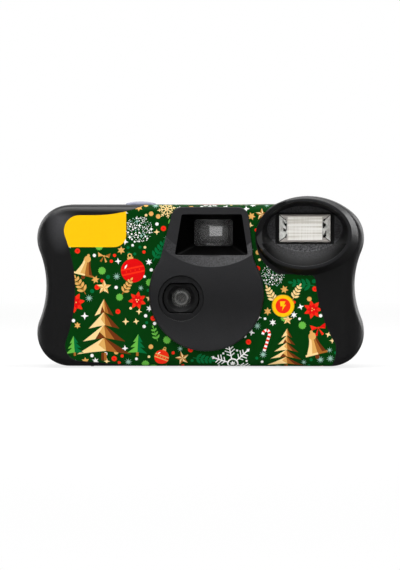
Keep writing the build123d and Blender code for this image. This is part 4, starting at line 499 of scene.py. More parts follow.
def coloured_sheet(outline, holes, motifs, folds, ground):
    """A flat sheet cut into triangles along its outline, its holes and its motifs. A triangle takes the ink
    of the last motif that covers it. Returns the points, the triangles and an ink for each triangle."""
    loops = [anticlockwise(loop) for loop in (outline, *holes, *(shape for _, shape in motifs))]
    counts = [len(loop) for loop in loops]
    starts = np.concatenate([[0], np.cumsum(counts)])
    points = [Vector(point) for loop in loops for point in loop / MM]
    faces = [list(range(start, start + count)) for start, count in zip(starts, counts)]
    edges = []
    for start, end in folds:
        edges.append((len(points), len(points) + 1))
        points += [Vector(start) / MM, Vector(end) / MM]
    made = delaunay_2d_cdt(points, edges, faces, 0, CUT_STEP, True)
    flat = np.array([tuple(point) for point in made[0]]) * MM
    triangles, inks = [], []
    first_motif = 1 + len(holes)
    for triangle, owners in zip(made[2], made[5]):
        if 0 in owners and not any(0 < owner < first_motif for owner in owners):
            top = max(owners)
            inks.append(motifs[top - first_motif][0] if top >= first_motif else ground)
            triangles.append(triangle)
    return flat, np.array(triangles), inks


def printed_mesh(name, places, outward, triangles, inks, thickness, edge_ink):
    """A closed printed sheet: the front triangles, the same ones turned round one thickness behind, and a
    rim of two triangles at each edge that has one triangle. The ink is a colour on each corner."""
    used, triangles = np.unique(triangles, return_inverse=True)
    triangles = triangles.reshape(-1, 3)
    places, outward = places[used], outward[used]
    count = len(places)
    edges = triangles[:, [0, 1, 1, 2, 2, 0]].reshape(-1, 2)
    rim = edges[~np.isin(edges[:, 0] * count + edges[:, 1], edges[:, 1] * count + edges[:, 0])]
    back = triangles[:, ::-1] + count
    rim_a = np.stack([rim[:, 1], rim[:, 0], rim[:, 0] + count], 1)
    rim_b = np.stack([rim[:, 1], rim[:, 0] + count, rim[:, 1] + count], 1)
    faces = np.concatenate([triangles, back, rim_a, rim_b])
    corners = np.concatenate([places, places - outward * thickness])
    mesh = new_mesh(name, corners.tolist(), faces.tolist())
    linear = {ink: screen_colour(*shares) for ink, shares in INKS.items()}
    colours = [linear[ink] for ink in inks] + [linear[edge_ink]] * (len(faces) - len(inks))
    layer = mesh.color_attributes.new("ink", "FLOAT_COLOR", "CORNER")
    layer.data.foreach_set("color", np.repeat(np.array(colours), 3, axis=0).ravel())
    mesh.polygons.foreach_set("use_smooth", [True] * len(faces))
    mesh.set_sharp_from_angle(angle=math.radians(SHARP_DEGREES))
    mesh.update()
    return mesh


def placed(parts, x, v, size, degrees=0.0):
    """A motif in the pattern: turned, scaled to its size and moved, in millimetres."""
    return [(ink, (turned(shape, degrees) * size + np.array([x, v])) * MM) for ink, shape in parts]


# The wrap's own design: a bare yellow patch, large motifs listed one by one, small ones scattered between
# them

PATCH_LEFT = -56.0
PATCH_RIGHT = -26.6
PATCH_FOOT = 43.6
PATCH_TOP = 64.0
PATCH_CORNER = 4.4

RED_BAUBLE = bauble("deep_red", "red", "gold")
RED_FLOWER = flower("red", "deep_red", "gold")
GREEN_FIR = fir_tree("leaf", "pine", "bronze", 3)
PINE_SPRIG = sprig("pine", "pine")
FOIL_STAR = cut_star(5, 0.42, "cream", "bronze")
SNOWFLAKE = great_frost_star("white", "ground")
FROST_BURST = plain_star("frost", 10, 0.3)
WHITE_SPARK = plain_star("white", 4, 0.36)
CREAM_SPARK = plain_star("cream", 4, 0.38)
GOLD_STAR = plain_star("gold", 6, 0.5)
LEAF_BURST = plain_star("leaf", 12, 0.78)
RED_BERRY = ringed_dot("red", "deep_red")

# Each motif's x and v, its size and its turn in degrees
LARGE_MOTIFS = (
    (cut_fir(), -34.6, 16.4, 13.6, 0),
    (RED_BAUBLE, -24.4, 36.2, 5.4, 12),
    (bell(), -41.2, 36.6, 4.6, -14),
    (RED_FLOWER, -45.2, 23.6, 3.7, 10),
    (flower("red", "deep_red", "cream"), -22.6, 24.4, 3.3, 30),
    (GREEN_FIR, -45.4, 8.6, 4.2, 4),
    (GREEN_FIR, -22.4, 9.0, 4.6, -3),
    (round_cloud(4), -22.0, 50.0, 5.0, 0),
    (PINE_SPRIG, -14.6, 42.6, 4.6, 60),
    (SNOWFLAKE, 11.8, 1.6, 8.2, 12),
    (PINE_SPRIG, 1.6, 3.2, 4.2, -8),
    (FOIL_STAR, -6.4, 3.6, 2.6, 14),
    (bauble("red", "gold", "gold"), -13.6, 4.6, 3.3, -20),
    (round_cloud(9), 26.2, 33.8, 4.4, 0),
    (PINE_SPRIG, 36.4, 30.4, 4.8, 172),
    (cut_fir(5), 31.2, 8.7, 9.4, -2),
    (bell(), 41.2, 8.6, 5.2, 14),
    (bow("red", "deep_red"), 42.6, 14.6, 3.0, 10),
    (RED_FLOWER, 40.6, 21.2, 3.4, 0),
    (candy_cane("red"), 23.2, 10.4, 4.0, -18),
    (FOIL_STAR, 22.2, 55.4, 2.3, 0),
    (sprig("leaf", "leaf", 3), 22.0, 46.4, 3.2, 100),
    (frost_star("cream", 8, "bronze"), -12.0, 57.4, 3.4, 10),
    (frost_star("white", 6), 3.6, 60.2, 2.9, 0),
    (sprig("bronze", "gold"), -43.4, 30.2, 4.2, 122),
    (sprig("bronze", "gold"), -26.2, 29.6, 3.6, 58),
    (sprig("gold", "cream"), 25.4, 26.8, 3.6, 118),
    (sprig("gold", "cream"), 34.8, 27.6, 3.4, 62),
    (sprig("leaf", "leaf", 3), -16.2, 12.6, 3.0, 108),
    (bow("gold", "bronze"), -34.6, 40.4, 2.4, -6),
    (FROST_BURST, -40.0, 25.2, 1.5, 8),
    (WHITE_SPARK, -41.6, 18.8, 1.4, 0),
    (GOLD_STAR, -44.2, 15.4, 1.3, 0),
    (LEAF_BURST, -29.0, 25.6, 1.4, 0),
    (RED_BERRY, -29.6, 20.4, 0.9, 0),
    (CREAM_SPARK, -26.8, 16.8, 1.3, 0),
)

# The kinds of motif that are scattered in turn, each with its size
SMALL_MOTIFS = (
    (round_dot("white"), 0.62), (FROST_BURST, 1.5), (round_dot("gold"), 0.85), (WHITE_SPARK, 1.25),
    (round_dot("pine"), 0.75), (RED_BERRY, 0.95), (CREAM_SPARK, 1.15), (round_dot("white"), 0.5),
    (GOLD_STAR, 1.5), (round_dot("cream"), 0.5), (LEAF_BURST, 1.5), (plain_star("frost", 8, 0.25), 1.2),
    (round_dot("pine"), 0.55), (plain_star("white", 6, 0.42), 1.3), (round_dot("red"), 0.6),
)

BACK_MOTIFS = (
    (cut_fir(), 5.5), (RED_BAUBLE, 3.8), (SNOWFLAKE, 5.0), (GREEN_FIR, 3.8), (RED_FLOWER, 3.4),
    (bell(), 3.8), (PINE_SPRIG, 3.9), (candy_cane("red"), 3.5), (FOIL_STAR, 2.6),
    (frost_star("cream", 8, "bronze"), 3.2),
)

# Rectangles of the pattern to scatter in: across, along, the room between motifs, tries, seed and turn
BAND_LOW, BAND_HIGH = BAND_START / MM, BAND_END / MM
BACK_AREAS = (
    ((-26, 48), (67, 85), 0.7, 400, 3, 0.0),
    ((-26, 48), (93, BAND_HIGH - 4), 0.6, 1200, 7, 180.0),
    ((-26, 48), (BAND_LOW + 4, -5), 0.7, 300, 5, 0.0),
)
SMALL_AREAS = (
    ((-52, 50), (-2, 62), 0.34, 6000, 8, 0.0),
    ((-26, 50), (62, BAND_HIGH - 2), 0.5, 2600, 11, 0.0),
    ((-26, 50), (BAND_LOW + 2, -2), 0.6, 600, 13, 0.0),
)

# How far a large motif keeps others off, as a share of its size: further for one of many parts
FINE_PARTS = 50
FINE_REACH = 0.96
PLAIN_REACH = 0.74

# How far a scattered motif leans to either side, in degrees
LEAN = 20


def patch_outline():
    """The bare yellow patch: a rectangle with its lower right corner rounded by a quarter circle."""
    angle = np.linspace(-math.pi / 2, 0, 9)
    corner = np.stack([np.cos(angle), np.sin(angle)], 1) * PATCH_CORNER
    corner += np.array([PATCH_RIGHT - PATCH_CORNER, PATCH_FOOT + PATCH_CORNER])
    top = [(PATCH_RIGHT, PATCH_TOP), (PATCH_LEFT, PATCH_TOP)]
    return np.concatenate([[(PATCH_LEFT, PATCH_FOOT)], corner, top]) * MM


def scatter(kinds, taken, across, along, room, tries, seed, upright):
    """Motifs drawn at random in a rectangle of the pattern, each one kept if it clears those before it.
    Upright is the turn that sets them the right way up there, half a turn on the back."""
    draw = np.random.default_rng(seed)
    parts = []
    turn = 0
    for _ in range(tries):
        shape, size = kinds[turn % len(kinds)]
        x, v = draw.uniform(*across), draw.uniform(*along)
        if all(math.hypot(x - a, v - b) > size + radius + room for a, b, radius in taken):
            taken.append((x, v, size))
            parts += placed(shape, x, v, size, upright + draw.uniform(-LEAN, LEAN))
            turn += 1
    return parts


def openings():
    """Circles of the pattern that stay clear round the pieces that show through the wrap."""
    circles = []
    for name in ("shutter_button", "counter_window", "viewfinder_eye_lens", "ready_light_pipe"):
        low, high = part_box(name)
        middle = (low + high) / 2
        on_top = high.z > REAR_HIGH
        v = TOP_START + middle.y - NEAR_Y if on_top else REAR_START + REAR_HIGH - middle.z
        circles.append((middle.x / MM, v / MM, (high.x - low.x) / 2 / MM))
    return circles


def wrap_motifs():
    """All the motifs in the order of printing: the small ones, the large ones over them, then the patch."""
    large, taken = [], openings()
    for shape, x, v, size, degrees in LARGE_MOTIFS:
        large += placed(shape, x, v, size, degrees)
        taken.append((x, v, size * (FINE_REACH if len(shape) > FINE_PARTS else PLAIN_REACH)))
    for area in BACK_AREAS:
        large += scatter(BACK_MOTIFS, taken, *area)
    small = []
    for area in SMALL_AREAS:
        small += scatter(SMALL_MOTIFS, taken, *area)
    return [*small, *large, ("yellow", patch_outline())]


def fold_lines():
    """Lines across the pattern at equal steps of each bend, so that the sheet can roll round it."""
    lines = []
    for start, end in zip(STRETCHES[1::2], STRETCHES[2::2]):
        for v in np.linspace(start, end, EDGE_STEPS + 1):
            lines.append(((wrap_low.x - MM, v), (wrap_high.x + MM, v)))
    return lines


def make_printed_wrap(finishes):
    """The printed wrap, cut to the case's recess and rolled round it."""
    outline, *holes = outlines_of(outer_skin(nodes["label_wrap"].data))
    flat, triangles, inks = coloured_sheet(outline, holes, wrap_motifs(), fold_lines(), "ground")
    places, outward = wrap_surface(flat[:, 0], flat[:, 1])
    mesh = printed_mesh("printed_wrap", places, outward, triangles, inks, PAPER, "paper")
    mesh.materials.append(finishes["printed_paper"])
    piece = new_object("printed_wrap", mesh)
    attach(piece, "camera_body")
    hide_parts("label_wrap")


# The flash window, a clear block with a wide slanted facet at each end

# Its rectangles from the back to the face, each with its y, half width and half height in millimetres
PANE_RINGS = (
    (-11.4, 9.2, 4.95), (-12.3, 9.2, 4.95), (-12.45, 8.95, 4.75), (-13.3, 6.5, 4.5), (-13.3, 6.2, 4.2),
)


def make_flash_pane(finishes):
    """The flash window as seen: rectangles joined into a closed block, its face ribbed."""
    corners = ((-1, -1), (1, -1), (1, 1), (-1, 1))
    places = [(PANE_X + side * half_x * MM, y * MM, PANE_Z + level * half_z * MM)
              for y, half_x, half_z in PANE_RINGS for side, level in corners]
    last = 4 * (len(PANE_RINGS) - 1)
    faces = [(3, 2, 1, 0), (last, last + 1, last + 2, last + 3)]
    for ring in range(0, last, 4):
        for corner in range(4):
            after = (corner + 1) % 4
            faces.append((ring + corner, ring + after, ring + 4 + after, ring + 4 + corner))
    mesh = new_mesh("flash_pane", places, faces)
    mesh.materials.append(finishes["window_facets"])
    mesh.materials.append(finishes["window_ribs"])
    mesh.polygons[1].material_index = 1
    piece = new_object("flash_pane", mesh)
    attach(piece, "camera_body")
    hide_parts("flash_window")


# The flash switch's printed face, whose motifs are sized in millimetres as the wrap's are

SWITCH_X = 29.9 * MM
SWITCH_Z = 22.5 * MM
SWITCH_RADIUS = 3.84
SWITCH_DISC = 2.7
SWITCH_FILM = 0.06 * MM
BOLT_SIZE = 2.1
BOLT = np.array([(-0.52, 0.78), (0.42, 0.78), (0.14, 0.2), (0.5, 0.2), (-0.2, -0.86), (-0.02, -0.06),
                 (-0.44, -0.06)])


def make_switch_print(finishes):
    """The switch's printed face: a yellow ring round a red disc with a plain yellow flash mark."""
    outline = disc(SWITCH_RADIUS, corners=64) * MM
    motifs = placed([("red", disc(corners=48))], 0, 0, SWITCH_DISC)
    motifs += placed([("yellow", BOLT)], 0, 0, BOLT_SIZE)
    flat, triangles, inks = coloured_sheet(outline, [], motifs, [], "yellow")
    near = np.full(len(flat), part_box("flash_button")[0].y - SWITCH_FILM / 4)
    places = np.stack([SWITCH_X + flat[:, 0], near, SWITCH_Z + flat[:, 1]], 1)
    outward = np.tile([0.0, -1.0, 0.0], (len(flat), 1))
    mesh = printed_mesh("switch_print", places, outward, triangles, inks, SWITCH_FILM, "yellow")
    mesh.materials.append(finishes["printed_paper"])
    piece = new_object("switch_print", mesh)
    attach(piece, "flash_switch")


# The counter's numbers, on the steps of its disc

COUNTER_X = -6.0 * MM
COUNTER_Y = 4.0 * MM
COUNTER_STEPS = 40
NUMBER_EVERY = 3
PICTURES = 27
NUMBER_RADIUS = 6.6 * MM
NUMBER_HEIGHT = 2.3 * MM
NUMBER_INK = 0.04 * MM
NUMBER_CURVE_STEPS = 4


def flat_number(label):
    """The corners and faces of a number that lies about zero: the font's curves, scaled to its height."""
    text = bpy.data.curves.new("number", "FONT")
    text.body = label
    text.align_x = "CENTER"
    text.align_y = "CENTER"
    text.extrude = NUMBER_INK / NUMBER_HEIGHT / 2
    text.resolution_u = NUMBER_CURVE_STEPS
    holder = bpy.data.objects.new("number", text)
    mesh = bpy.data.meshes.new_from_object(holder)
    corners = corners_of(mesh) * NUMBER_HEIGHT
    faces = [list(polygon.vertices) for polygon in mesh.polygons]
    bpy.data.objects.remove(holder)
    bpy.data.meshes.remove(mesh)
    return corners, faces


def make_counter_numbers(finishes):
    """The numbers of pictures left, one at every third step of the disc, and a dot at those past zero."""
    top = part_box("counter_disc")[1].z
    places, faces = [], []
    for step in range(0, COUNTER_STEPS - 1, NUMBER_EVERY):
        angle = -math.pi / 2 - step * 2 * math.pi / COUNTER_STEPS
        corners, outlines = flat_number(str(PICTURES - step) if step <= PICTURES else "•")
        x = COUNTER_X + NUMBER_RADIUS * math.cos(angle)
        y = COUNTER_Y + NUMBER_RADIUS * math.sin(angle)
        flat = turned(corners[:, :2], math.degrees(angle) + 90) + np.array([x, y])
        start = len(places)
        places += np.column_stack([flat, top + corners[:, 2]]).tolist()
        faces += [[start + corner for corner in outline] for outline in outlines]
    mesh = new_mesh("counter_numbers", places, faces)
    mesh.materials.append(finishes["number_ink"])
    piece = new_object("counter_numbers", mesh)
    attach(piece, "counter")


# Node trees. A value is a socket of the tree or a plain number, and a mask is a value from 0 to 1

COLOUR_INPUTS = (6, 7)
COLOUR_RESULT = 2
EDGE_SAMPLES = 6


class Recipe:
    """A node tree, with short calls for the nodes that the effects, the finishes and the studio share."""

    def __init__(self, tree):
        self.tree = tree

    def feed(self, socket, value):
        """Link a socket to a value, or write a number there."""
        if isinstance(value, bpy.types.NodeSocket):
            self.tree.links.new(value, socket)
        else:
            socket.default_value = value

    def node(self, kind, settings=None, **values):
        """A new node with its settings, and its inputs fed by name, with underscores for spaces."""
        made = self.tree.nodes.new("ShaderNode" + kind)
        for label, setting in (settings or {}).items():
            setattr(made, label, setting)
        for label, value in values.items():
            self.feed(made.inputs[label.replace("_", " ")], value)
        return made

    def calculated(self, operation, first, second):
        """Two values through a Math node."""
        made = self.node("Math", {"operation": operation})
        self.feed(made.inputs[0], first)
        self.feed(made.inputs[1], second)
        return made.outputs[0]

    def product(self, first, second):
        """Two values multiplied, or the mask where two masks meet."""
        return self.calculated("MULTIPLY", first, second)

    def total(self, first, second):
        """Two values added."""
        return self.calculated("ADD", first, second)

    def less(self, first, second):
        """The first value less the second."""
        return self.calculated("SUBTRACT", first, second)

    def most(self, first, second):
        """The larger of two values, or a mask of either of two masks."""
        return self.calculated("MAXIMUM", first, second)

    def above(self, value, limit):
        """A mask of where a value is over a limit."""
        return self.calculated("GREATER_THAN", value, limit)

    def within(self, value, low, high):
        """A mask of where a value is between two limits."""
        return self.product(self.above(value, low), self.above(high, value))

    def ramp(self, value, low, high, start=0.0, end=1.0):
        """A value carried from one span to another, and kept inside it."""
        spans = {"From_Min": low, "From_Max": high, "To_Min": start, "To_Max": end}
        return self.node("MapRange", Value=value, **spans).outputs["Result"]

    def noise(self, place, scale, detail):
        """A noise value at a place."""
        return self.node("TexNoise", Vector=place, Scale=scale, Detail=detail).outputs["Fac"]

    def distance(self, *pairs):
        """How far the place is from a line: the root of the summed squares of each value less its mark."""
        squares = 0.0
        for value, mark in zip(pairs[::2], pairs[1::2]):
            offset = self.less(value, mark)
            squares = self.total(self.product(offset, offset), squares)
        return self.calculated("SQRT", squares, 0.0)

    def oval(self, x, z, centre_x, centre_z, half_width, half_height):
        """A mask of an upright oval: less than one away, in half widths and half heights."""
        across, up = self.product(x, 1 / half_width), self.product(z, 1 / half_height)
        return self.above(1.0, self.distance(across, centre_x / half_width, up, centre_z / half_height))

    def mixed(self, mask, first, second):
        """Two colours mixed by a mask, each one a socket, or red, green and blue on a screen."""
        made = self.node("Mix", {"data_type": "RGBA"}, Factor=mask)
        for index, colour in zip(COLOUR_INPUTS, (first, second)):
            self.feed(made.inputs[index], screen_colour(*colour) if isinstance(colour, tuple) else colour)
        return made.outputs[COLOUR_RESULT]

    def white_rays(self):
        """The kinds of ray, and a mask of those that see the background white: the camera's and glass's."""
        rays = self.node("LightPath").outputs
        return rays, self.most(rays["Is Camera Ray"], rays["Is Transmission Ray"])


class Effect(Recipe):
    """An effect that several finishes share: a node group that reads a place and named values."""

    def __init__(self, name, **values):
        super().__init__(bpy.data.node_groups.new(name, "ShaderNodeTree"))
        self.tree.interface.new_socket(name="Place", in_out="INPUT", socket_type="NodeSocketVector")
        for label, value in values.items():
            kind = "NodeSocketFloat" if isinstance(value, float) else "NodeSocketColor"
            socket = self.tree.interface.new_socket(name=label, in_out="INPUT", socket_type=kind)
            socket.default_value = value
        self.given = self.tree.nodes.new("NodeGroupInput").outputs

    def giving(self, label, value, kind="NodeSocketFloat"):
        """The finished group, which puts out one value."""
        self.tree.interface.new_socket(name=label, in_out="OUTPUT", socket_type=kind)
        self.feed(self.tree.nodes.new("NodeGroupOutput").inputs[label], value)
        return self.tree


CELLS_TO_GRAIN = 1.6
PIT_DEPTH = 0.5


def make_spark_grain():
    """The fine rough skin of a spark-eroded mould: noise for the swells and cells for the pits."""
    effect = Effect("spark_grain", Grain=4000.0)
    place, grain = effect.given["Place"], effect.given["Grain"]
    swell = effect.noise(place, grain, 3.0)
    cells = effect.node("TexVoronoi", Vector=place, Scale=effect.product(grain, CELLS_TO_GRAIN))
    return effect.giving("Height", effect.total(swell, effect.product(cells.outputs["Distance"], PIT_DEPTH)))


def make_worn_gloss():
    """Roughness that drifts from place to place, as on a handled surface: noise between two limits."""
    effect = Effect("worn_gloss", Patches=90.0, Low=0.3, High=0.5)
    low, high = effect.given["Low"], effect.given["High"]
    patches = effect.noise(effect.given["Place"], effect.given["Patches"], 5.0)
    return effect.giving("Roughness", effect.total(effect.product(patches, effect.less(high, low)), low))


def make_colour_drift():
    """A colour that varies a little: it is scaled by one plus the shift times noise about zero."""
    effect = Effect("colour_drift", Patches=120.0, Shift=0.15, Colour=(0.5, 0.5, 0.5, 1.0))
    patches = effect.noise(effect.given["Place"], effect.given["Patches"], 4.0)
    factor = effect.total(effect.product(effect.less(patches, 0.5), effect.given["Shift"]), 1.0)
    scaled = effect.node("VectorMath", {"operation": "SCALE"}, Vector=effect.given["Colour"], Scale=factor)
    return effect.giving("Colour", scaled.outputs["Vector"], "NodeSocketColor")


def make_fine_lines():
    """Fine noise, which turns to parallel marks where the place is stretched along one direction."""
    effect = Effect("fine_lines", Lines=3000.0)
    return effect.giving("Height", effect.noise(effect.given["Place"], effect.given["Lines"], 2.0))


SPARK_GRAIN = make_spark_grain()
WORN_GLOSS = make_worn_gloss()
COLOUR_DRIFT = make_colour_drift()
FINE_LINES = make_fine_lines()


# Finishes

class Finish(Recipe):
    """A material being made: its tree, its shader, and the place on the piece that its patterns read."""

    def __init__(self, name, metal=0.0, gloss=0.5):
        self.name = name
        self.material = bpy.data.materials.new(name)
        self.material.use_nodes = True
        super().__init__(self.material.node_tree)
        self.shader = self.tree.nodes["Principled BSDF"]
        self.place = self.node("TexCoord").outputs["Object"]
        self.having(Metallic=metal, Specular_IOR_Level=gloss)

    def having(self, **values):
        """Plain values of the shader, with underscores for spaces."""
        for label, value in values.items():
            self.feed(self.shader.inputs[label.replace("_", " ")], value)
        return self

    def effect(self, group, **values):
        """What a shared effect puts out, read at the piece's own place unless another is given."""
        values.setdefault("Place", self.place)
        return self.node("Group", {"node_tree": group}, **values).outputs[0]

    def stretched(self, *scale):
        """The place scaled unevenly, to draw a pattern out along one direction."""
        return self.node("Mapping", Vector=self.place, Scale=scale).outputs["Vector"]

    def axis(self, letter):
        """One coordinate of the place."""
        return self.node("SeparateXYZ", Vector=self.place).outputs[letter]

    def colour(self, source, patches, shift):
        """The base colour, a socket or a screen's red, green and blue, drifting by the shift."""
        source = screen_colour(*source) if isinstance(source, tuple) else source
        return self.having(Base_Color=self.effect(COLOUR_DRIFT, Patches=patches, Shift=shift, Colour=source))

    def gloss(self, low, high, patches=90.0):
        """The roughness, drifting between two limits."""
        return self.having(Roughness=self.effect(WORN_GLOSS, Patches=patches, Low=low, High=high))

    def relief(self, height, depth, edge=0.0):
        """A bump of the given depth in metres, over edges rounded by the given radius."""
        made = self.node("Bump", Strength=1.0, Distance=depth, Height=height)
        if edge:
            rounded = self.node("Bevel", {"samples": EDGE_SAMPLES}, Radius=edge)
            self.feed(made.inputs["Normal"], rounded.outputs["Normal"])
        return self.having(Normal=made.outputs["Normal"])

    def grain(self, grain, depth, edge=0.0):
        """A spark-eroded skin."""
        return self.relief(self.effect(SPARK_GRAIN, Grain=grain), depth, edge)

    def marks(self, lines, depth, *scale):
        """Fine marks, drawn out where a scale is given."""
        place = self.stretched(*scale) if scale else self.place
        return self.relief(self.effect(FINE_LINES, Place=place, Lines=lines), depth)


# The case's tones, as greys that change from place to place on its front, most of them painted light and
# shade

CASE_BLACK = (17, 17, 18)
# Where the painted highlight at the upper left of the front lies, how it is narrowed across, how it fades,
# and its top edge
HIGHLIGHT_X = -50.0 * MM
HIGHLIGHT_Z = 54.0 * MM
HIGHLIGHT_NARROWED = 2.2
HIGHLIGHT_FADE = (2.0 * MM, 13.5 * MM)
HIGHLIGHT_TOP = (54.5 * MM, 57.0 * MM)
PANEL_EDGE_Y = (-14.75 * MM, -14.55 * MM)
PANEL_RIGHT_X = 23.4 * MM
PANEL_MIDDLE_Z = 23.8 * MM
# How far from the panel's middle its painted light starts and reaches full strength
PANEL_LIGHT_FADE = (2.0 * MM, 14.0 * MM)
# Width of the painted shadow in the lens ring's groove
GROOVE_WIDTH = 0.3 * MM
SCOOP_Y = (-16.52 * MM, -15.25 * MM)
SCOOP_LOW_Z = 35.5 * MM
SCOOP_RIGHT_X = 21.0 * MM
# Bounds in the flash's bowl: of the painted highlight below the window, the painted light and shade on its
# slope, its matt slope, and the painted shade in the window's frame
BELOW_PANE_Z = (44.6 * MM, 47.0 * MM)
SLOPE_Y = (-15.2 * MM, BOWL_FLOOR_Y)
FLOOR_START_Y = BOWL_FLOOR_Y - 0.05 * MM
MATT_SLOPE_Y = (BOWL_RIM_Y, -12.4 * MM)
MATT_SLOPE_TOP_Z = 45.0 * MM
PANE_FRAME = (10.6 * MM, 5.7 * MM)
# The flank of the flash's boss that gets painted shade, and where that shade fades out to the right
FLANK_Y = -14.7 * MM
FLANK_SHADE_FADE_X = (40.0 * MM, 50.0 * MM)
SPECULAR_SHINY, SPECULAR_MATT = 0.5, 0.06
# How strongly the colour drifts: on plain areas, and where glints of grain are painted
DRIFT_PLAIN, DRIFT_GLINTS = 0.4, 4.6


def grip_tone_and_highlight(finish, x, z):
    """The case's black, with a painted highlight, a soft paler area longer than wide, at the upper left of
    the front.
    """
    narrowed = finish.product(x, HIGHLIGHT_NARROWED)
    reach = finish.distance(narrowed, HIGHLIGHT_X * HIGHLIGHT_NARROWED, z, HIGHLIGHT_Z)
    painted_highlight = finish.product(finish.ramp(reach, *HIGHLIGHT_FADE, 1.0, 0.0), finish.ramp(z, *HIGHLIGHT_TOP, 1.0, 0.0))
    return finish.mixed(painted_highlight, CASE_BLACK, (69, 69, 72))


def panel_tone(finish, x, y, z, base):
    """The base tone, a shade paler on the raised lens panel and hood, and paler still away from the panel's
    middle as painted light, darker inside the lens ring, with a painted shadow in a thin groove at the lens
    ring."""
    panel = finish.product(finish.ramp(y, *PANEL_EDGE_Y, 1.0, 0.0), finish.above(PANEL_RIGHT_X, x))
    # Painted light: the panel grows paler away from its middle
    away = finish.ramp(finish.distance(z, PANEL_MIDDLE_Z), *PANEL_LIGHT_FADE)
    tone = finish.mixed(panel, base, finish.mixed(away, (29, 29, 31), (41, 41, 43)))
    radius = finish.distance(x, LENS_X, z, LENS_Z)
    tone = finish.mixed(finish.above(LENS_GROOVE, radius), tone, (25, 25, 27))
    # Painted shadow in the lens ring's groove
    return finish.mixed(finish.within(radius, LENS_GROOVE - GROOVE_WIDTH, LENS_GROOVE), tone, (3, 3, 3))


def funnel_mask(finish, x, y, z):
    """Where the case is the viewfinder's funnel: behind its mouth, a box that widens to its foot."""
    rise = finish.ramp(z, FUNNEL_LOW_Z, FUNNEL_HIGH_Z)
    left_edge = finish.ramp(rise, 0.0, 1.0, *FUNNEL_LEFT_X)
    right_edge = finish.ramp(rise, 0.0, 1.0, *FUNNEL_RIGHT_X)
    beside = finish.within(x, left_edge, right_edge)
    level = finish.within(z, FUNNEL_LOW_Z, FUNNEL_HIGH_Z)
    return finish.product(finish.above(y, FUNNEL_Y), finish.product(beside, level))


def bowl_tone(finish, x, y, z, bowl, base):
    """The tone inside the flash's bowl: a painted highlight below the window, painted light on the slope that
    fades to painted shade at the lip, and painted shade in the window's frame.
    """
    low = finish.ramp(z, *BELOW_PANE_Z)
    # Painted highlight on the floor below the window, and on the slope painted light that fades to painted
    # shade at the lip
    floor_painted_light = finish.mixed(low, (92, 92, 94), (40, 40, 42))
    slope_painted_light = finish.mixed(low, finish.mixed(finish.ramp(y, *SLOPE_Y), (6, 6, 7), (48, 48, 50)), base)
    tone = finish.mixed(finish.above(y, FLOOR_START_Y), slope_painted_light, floor_painted_light)
    # Painted shade in the window's frame recess
    half_width, half_height = PANE_FRAME
    beside = finish.above(half_width, finish.distance(x, PANE_X))
    frame_shade_mask = finish.product(beside, finish.above(half_height, finish.distance(z, PANE_Z)))
    return finish.mixed(bowl, base, finish.mixed(frame_shade_mask, tone, (7, 7, 7)))


def boss_tone(finish, x, y, boss, base):
    """The tone outside the bowl: a painted highlight as a pale bead on the flash's rim, over a flank with
    painted shade on its left.
    """
    # Painted shade on the flank's left, and a painted highlight on the rim's bead
    flank_painted_shade = finish.mixed(finish.ramp(x, *FLANK_SHADE_FADE_X), (6, 6, 7), base)
    tone = finish.mixed(finish.product(boss, finish.above(FLANK_Y, y)), base, flank_painted_shade)
    return finish.mixed(finish.product(boss, finish.above(BOWL_RIM_Y, y)), tone, (29, 29, 31))


def case_plastic():
    """The case's satin black plastic, with its tone changed on the panel, in the funnel and in the bowl, much
    of it painted light and shade. On the scoop below the hood and in the bowl the colour is strongly mottled,
    as painted glints of grain where light rakes over it."""
    finish = Finish("case_plastic")
    x, y, z = (finish.axis(letter) for letter in "XYZ")
    tone = panel_tone(finish, x, y, z, grip_tone_and_highlight(finish, x, z))
    tone = boss_tone(finish, x, y, finish.oval(x, z, *BOSS_OVAL), tone)
    bowl = finish.product(finish.oval(x, z, *BOWL_OVAL), finish.within(y, BOWL_RIM_Y, 0.0))
    funnel = funnel_mask(finish, x, y, z)
    # Painted shade: the viewfinder's funnel is painted near black
    tone = finish.mixed(funnel, bowl_tone(finish, x, y, z, bowl, tone), (2, 2, 2))
    scoop = finish.product(finish.within(y, *SCOOP_Y), finish.above(z, SCOOP_LOW_Z))
    # Painted glints of grain on the scoop and in the bowl
    painted_grain_glints = finish.most(finish.product(scoop, finish.above(SCOOP_RIGHT_X, x)), bowl)
    finish.colour(tone, 1900.0, finish.ramp(painted_grain_glints, 0.0, 1.0, DRIFT_PLAIN, DRIFT_GLINTS)).gloss(0.34, 0.46)
    slope = finish.product(finish.above(MATT_SLOPE_TOP_Z, z), finish.ramp(y, *MATT_SLOPE_Y, 1.0, 0.0))
    matt = finish.most(funnel, finish.product(bowl, slope))
    finish.having(Specular_IOR_Level=finish.ramp(matt, 0.0, 1.0, SPECULAR_SHINY, SPECULAR_MATT))
    return finish.grain(2700.0, 0.035 * MM, 0.18 * MM)


# The other finishes

ACRYLIC_IOR = 1.49


def printed_paper():
    """The varnished print: the ink of each corner over fine paper fibre."""
    finish = Finish("printed_paper", gloss=0.06)
    ink = finish.node("Attribute", {"attribute_name": "ink"}).outputs["Color"]
    return finish.colour(ink, 900.0, 0.08).gloss(0.4, 0.5, 200.0).grain(1500.0, 0.006 * MM)


def moulded(name, colour, low, high, grain, depth, edge=0.12 * MM, shift=0.18):
    """A moulded plastic: its colour, its roughness between two limits, and its spark-eroded skin."""
    return Finish(name).colour(colour, 160.0, shift).gloss(low, high).grain(grain, depth, edge)


def clear_plastic(name, tint, haze):
    """Clear moulded acrylic: a glossy skin, and a body of which only the haze share is seen."""
    finish = Finish(name).colour(tint, 60.0, 0.05).gloss(0.04, 0.1, 300.0)
    return finish.having(Alpha=haze, IOR=ACRYLIC_IOR).grain(700.0, 0.002 * MM)


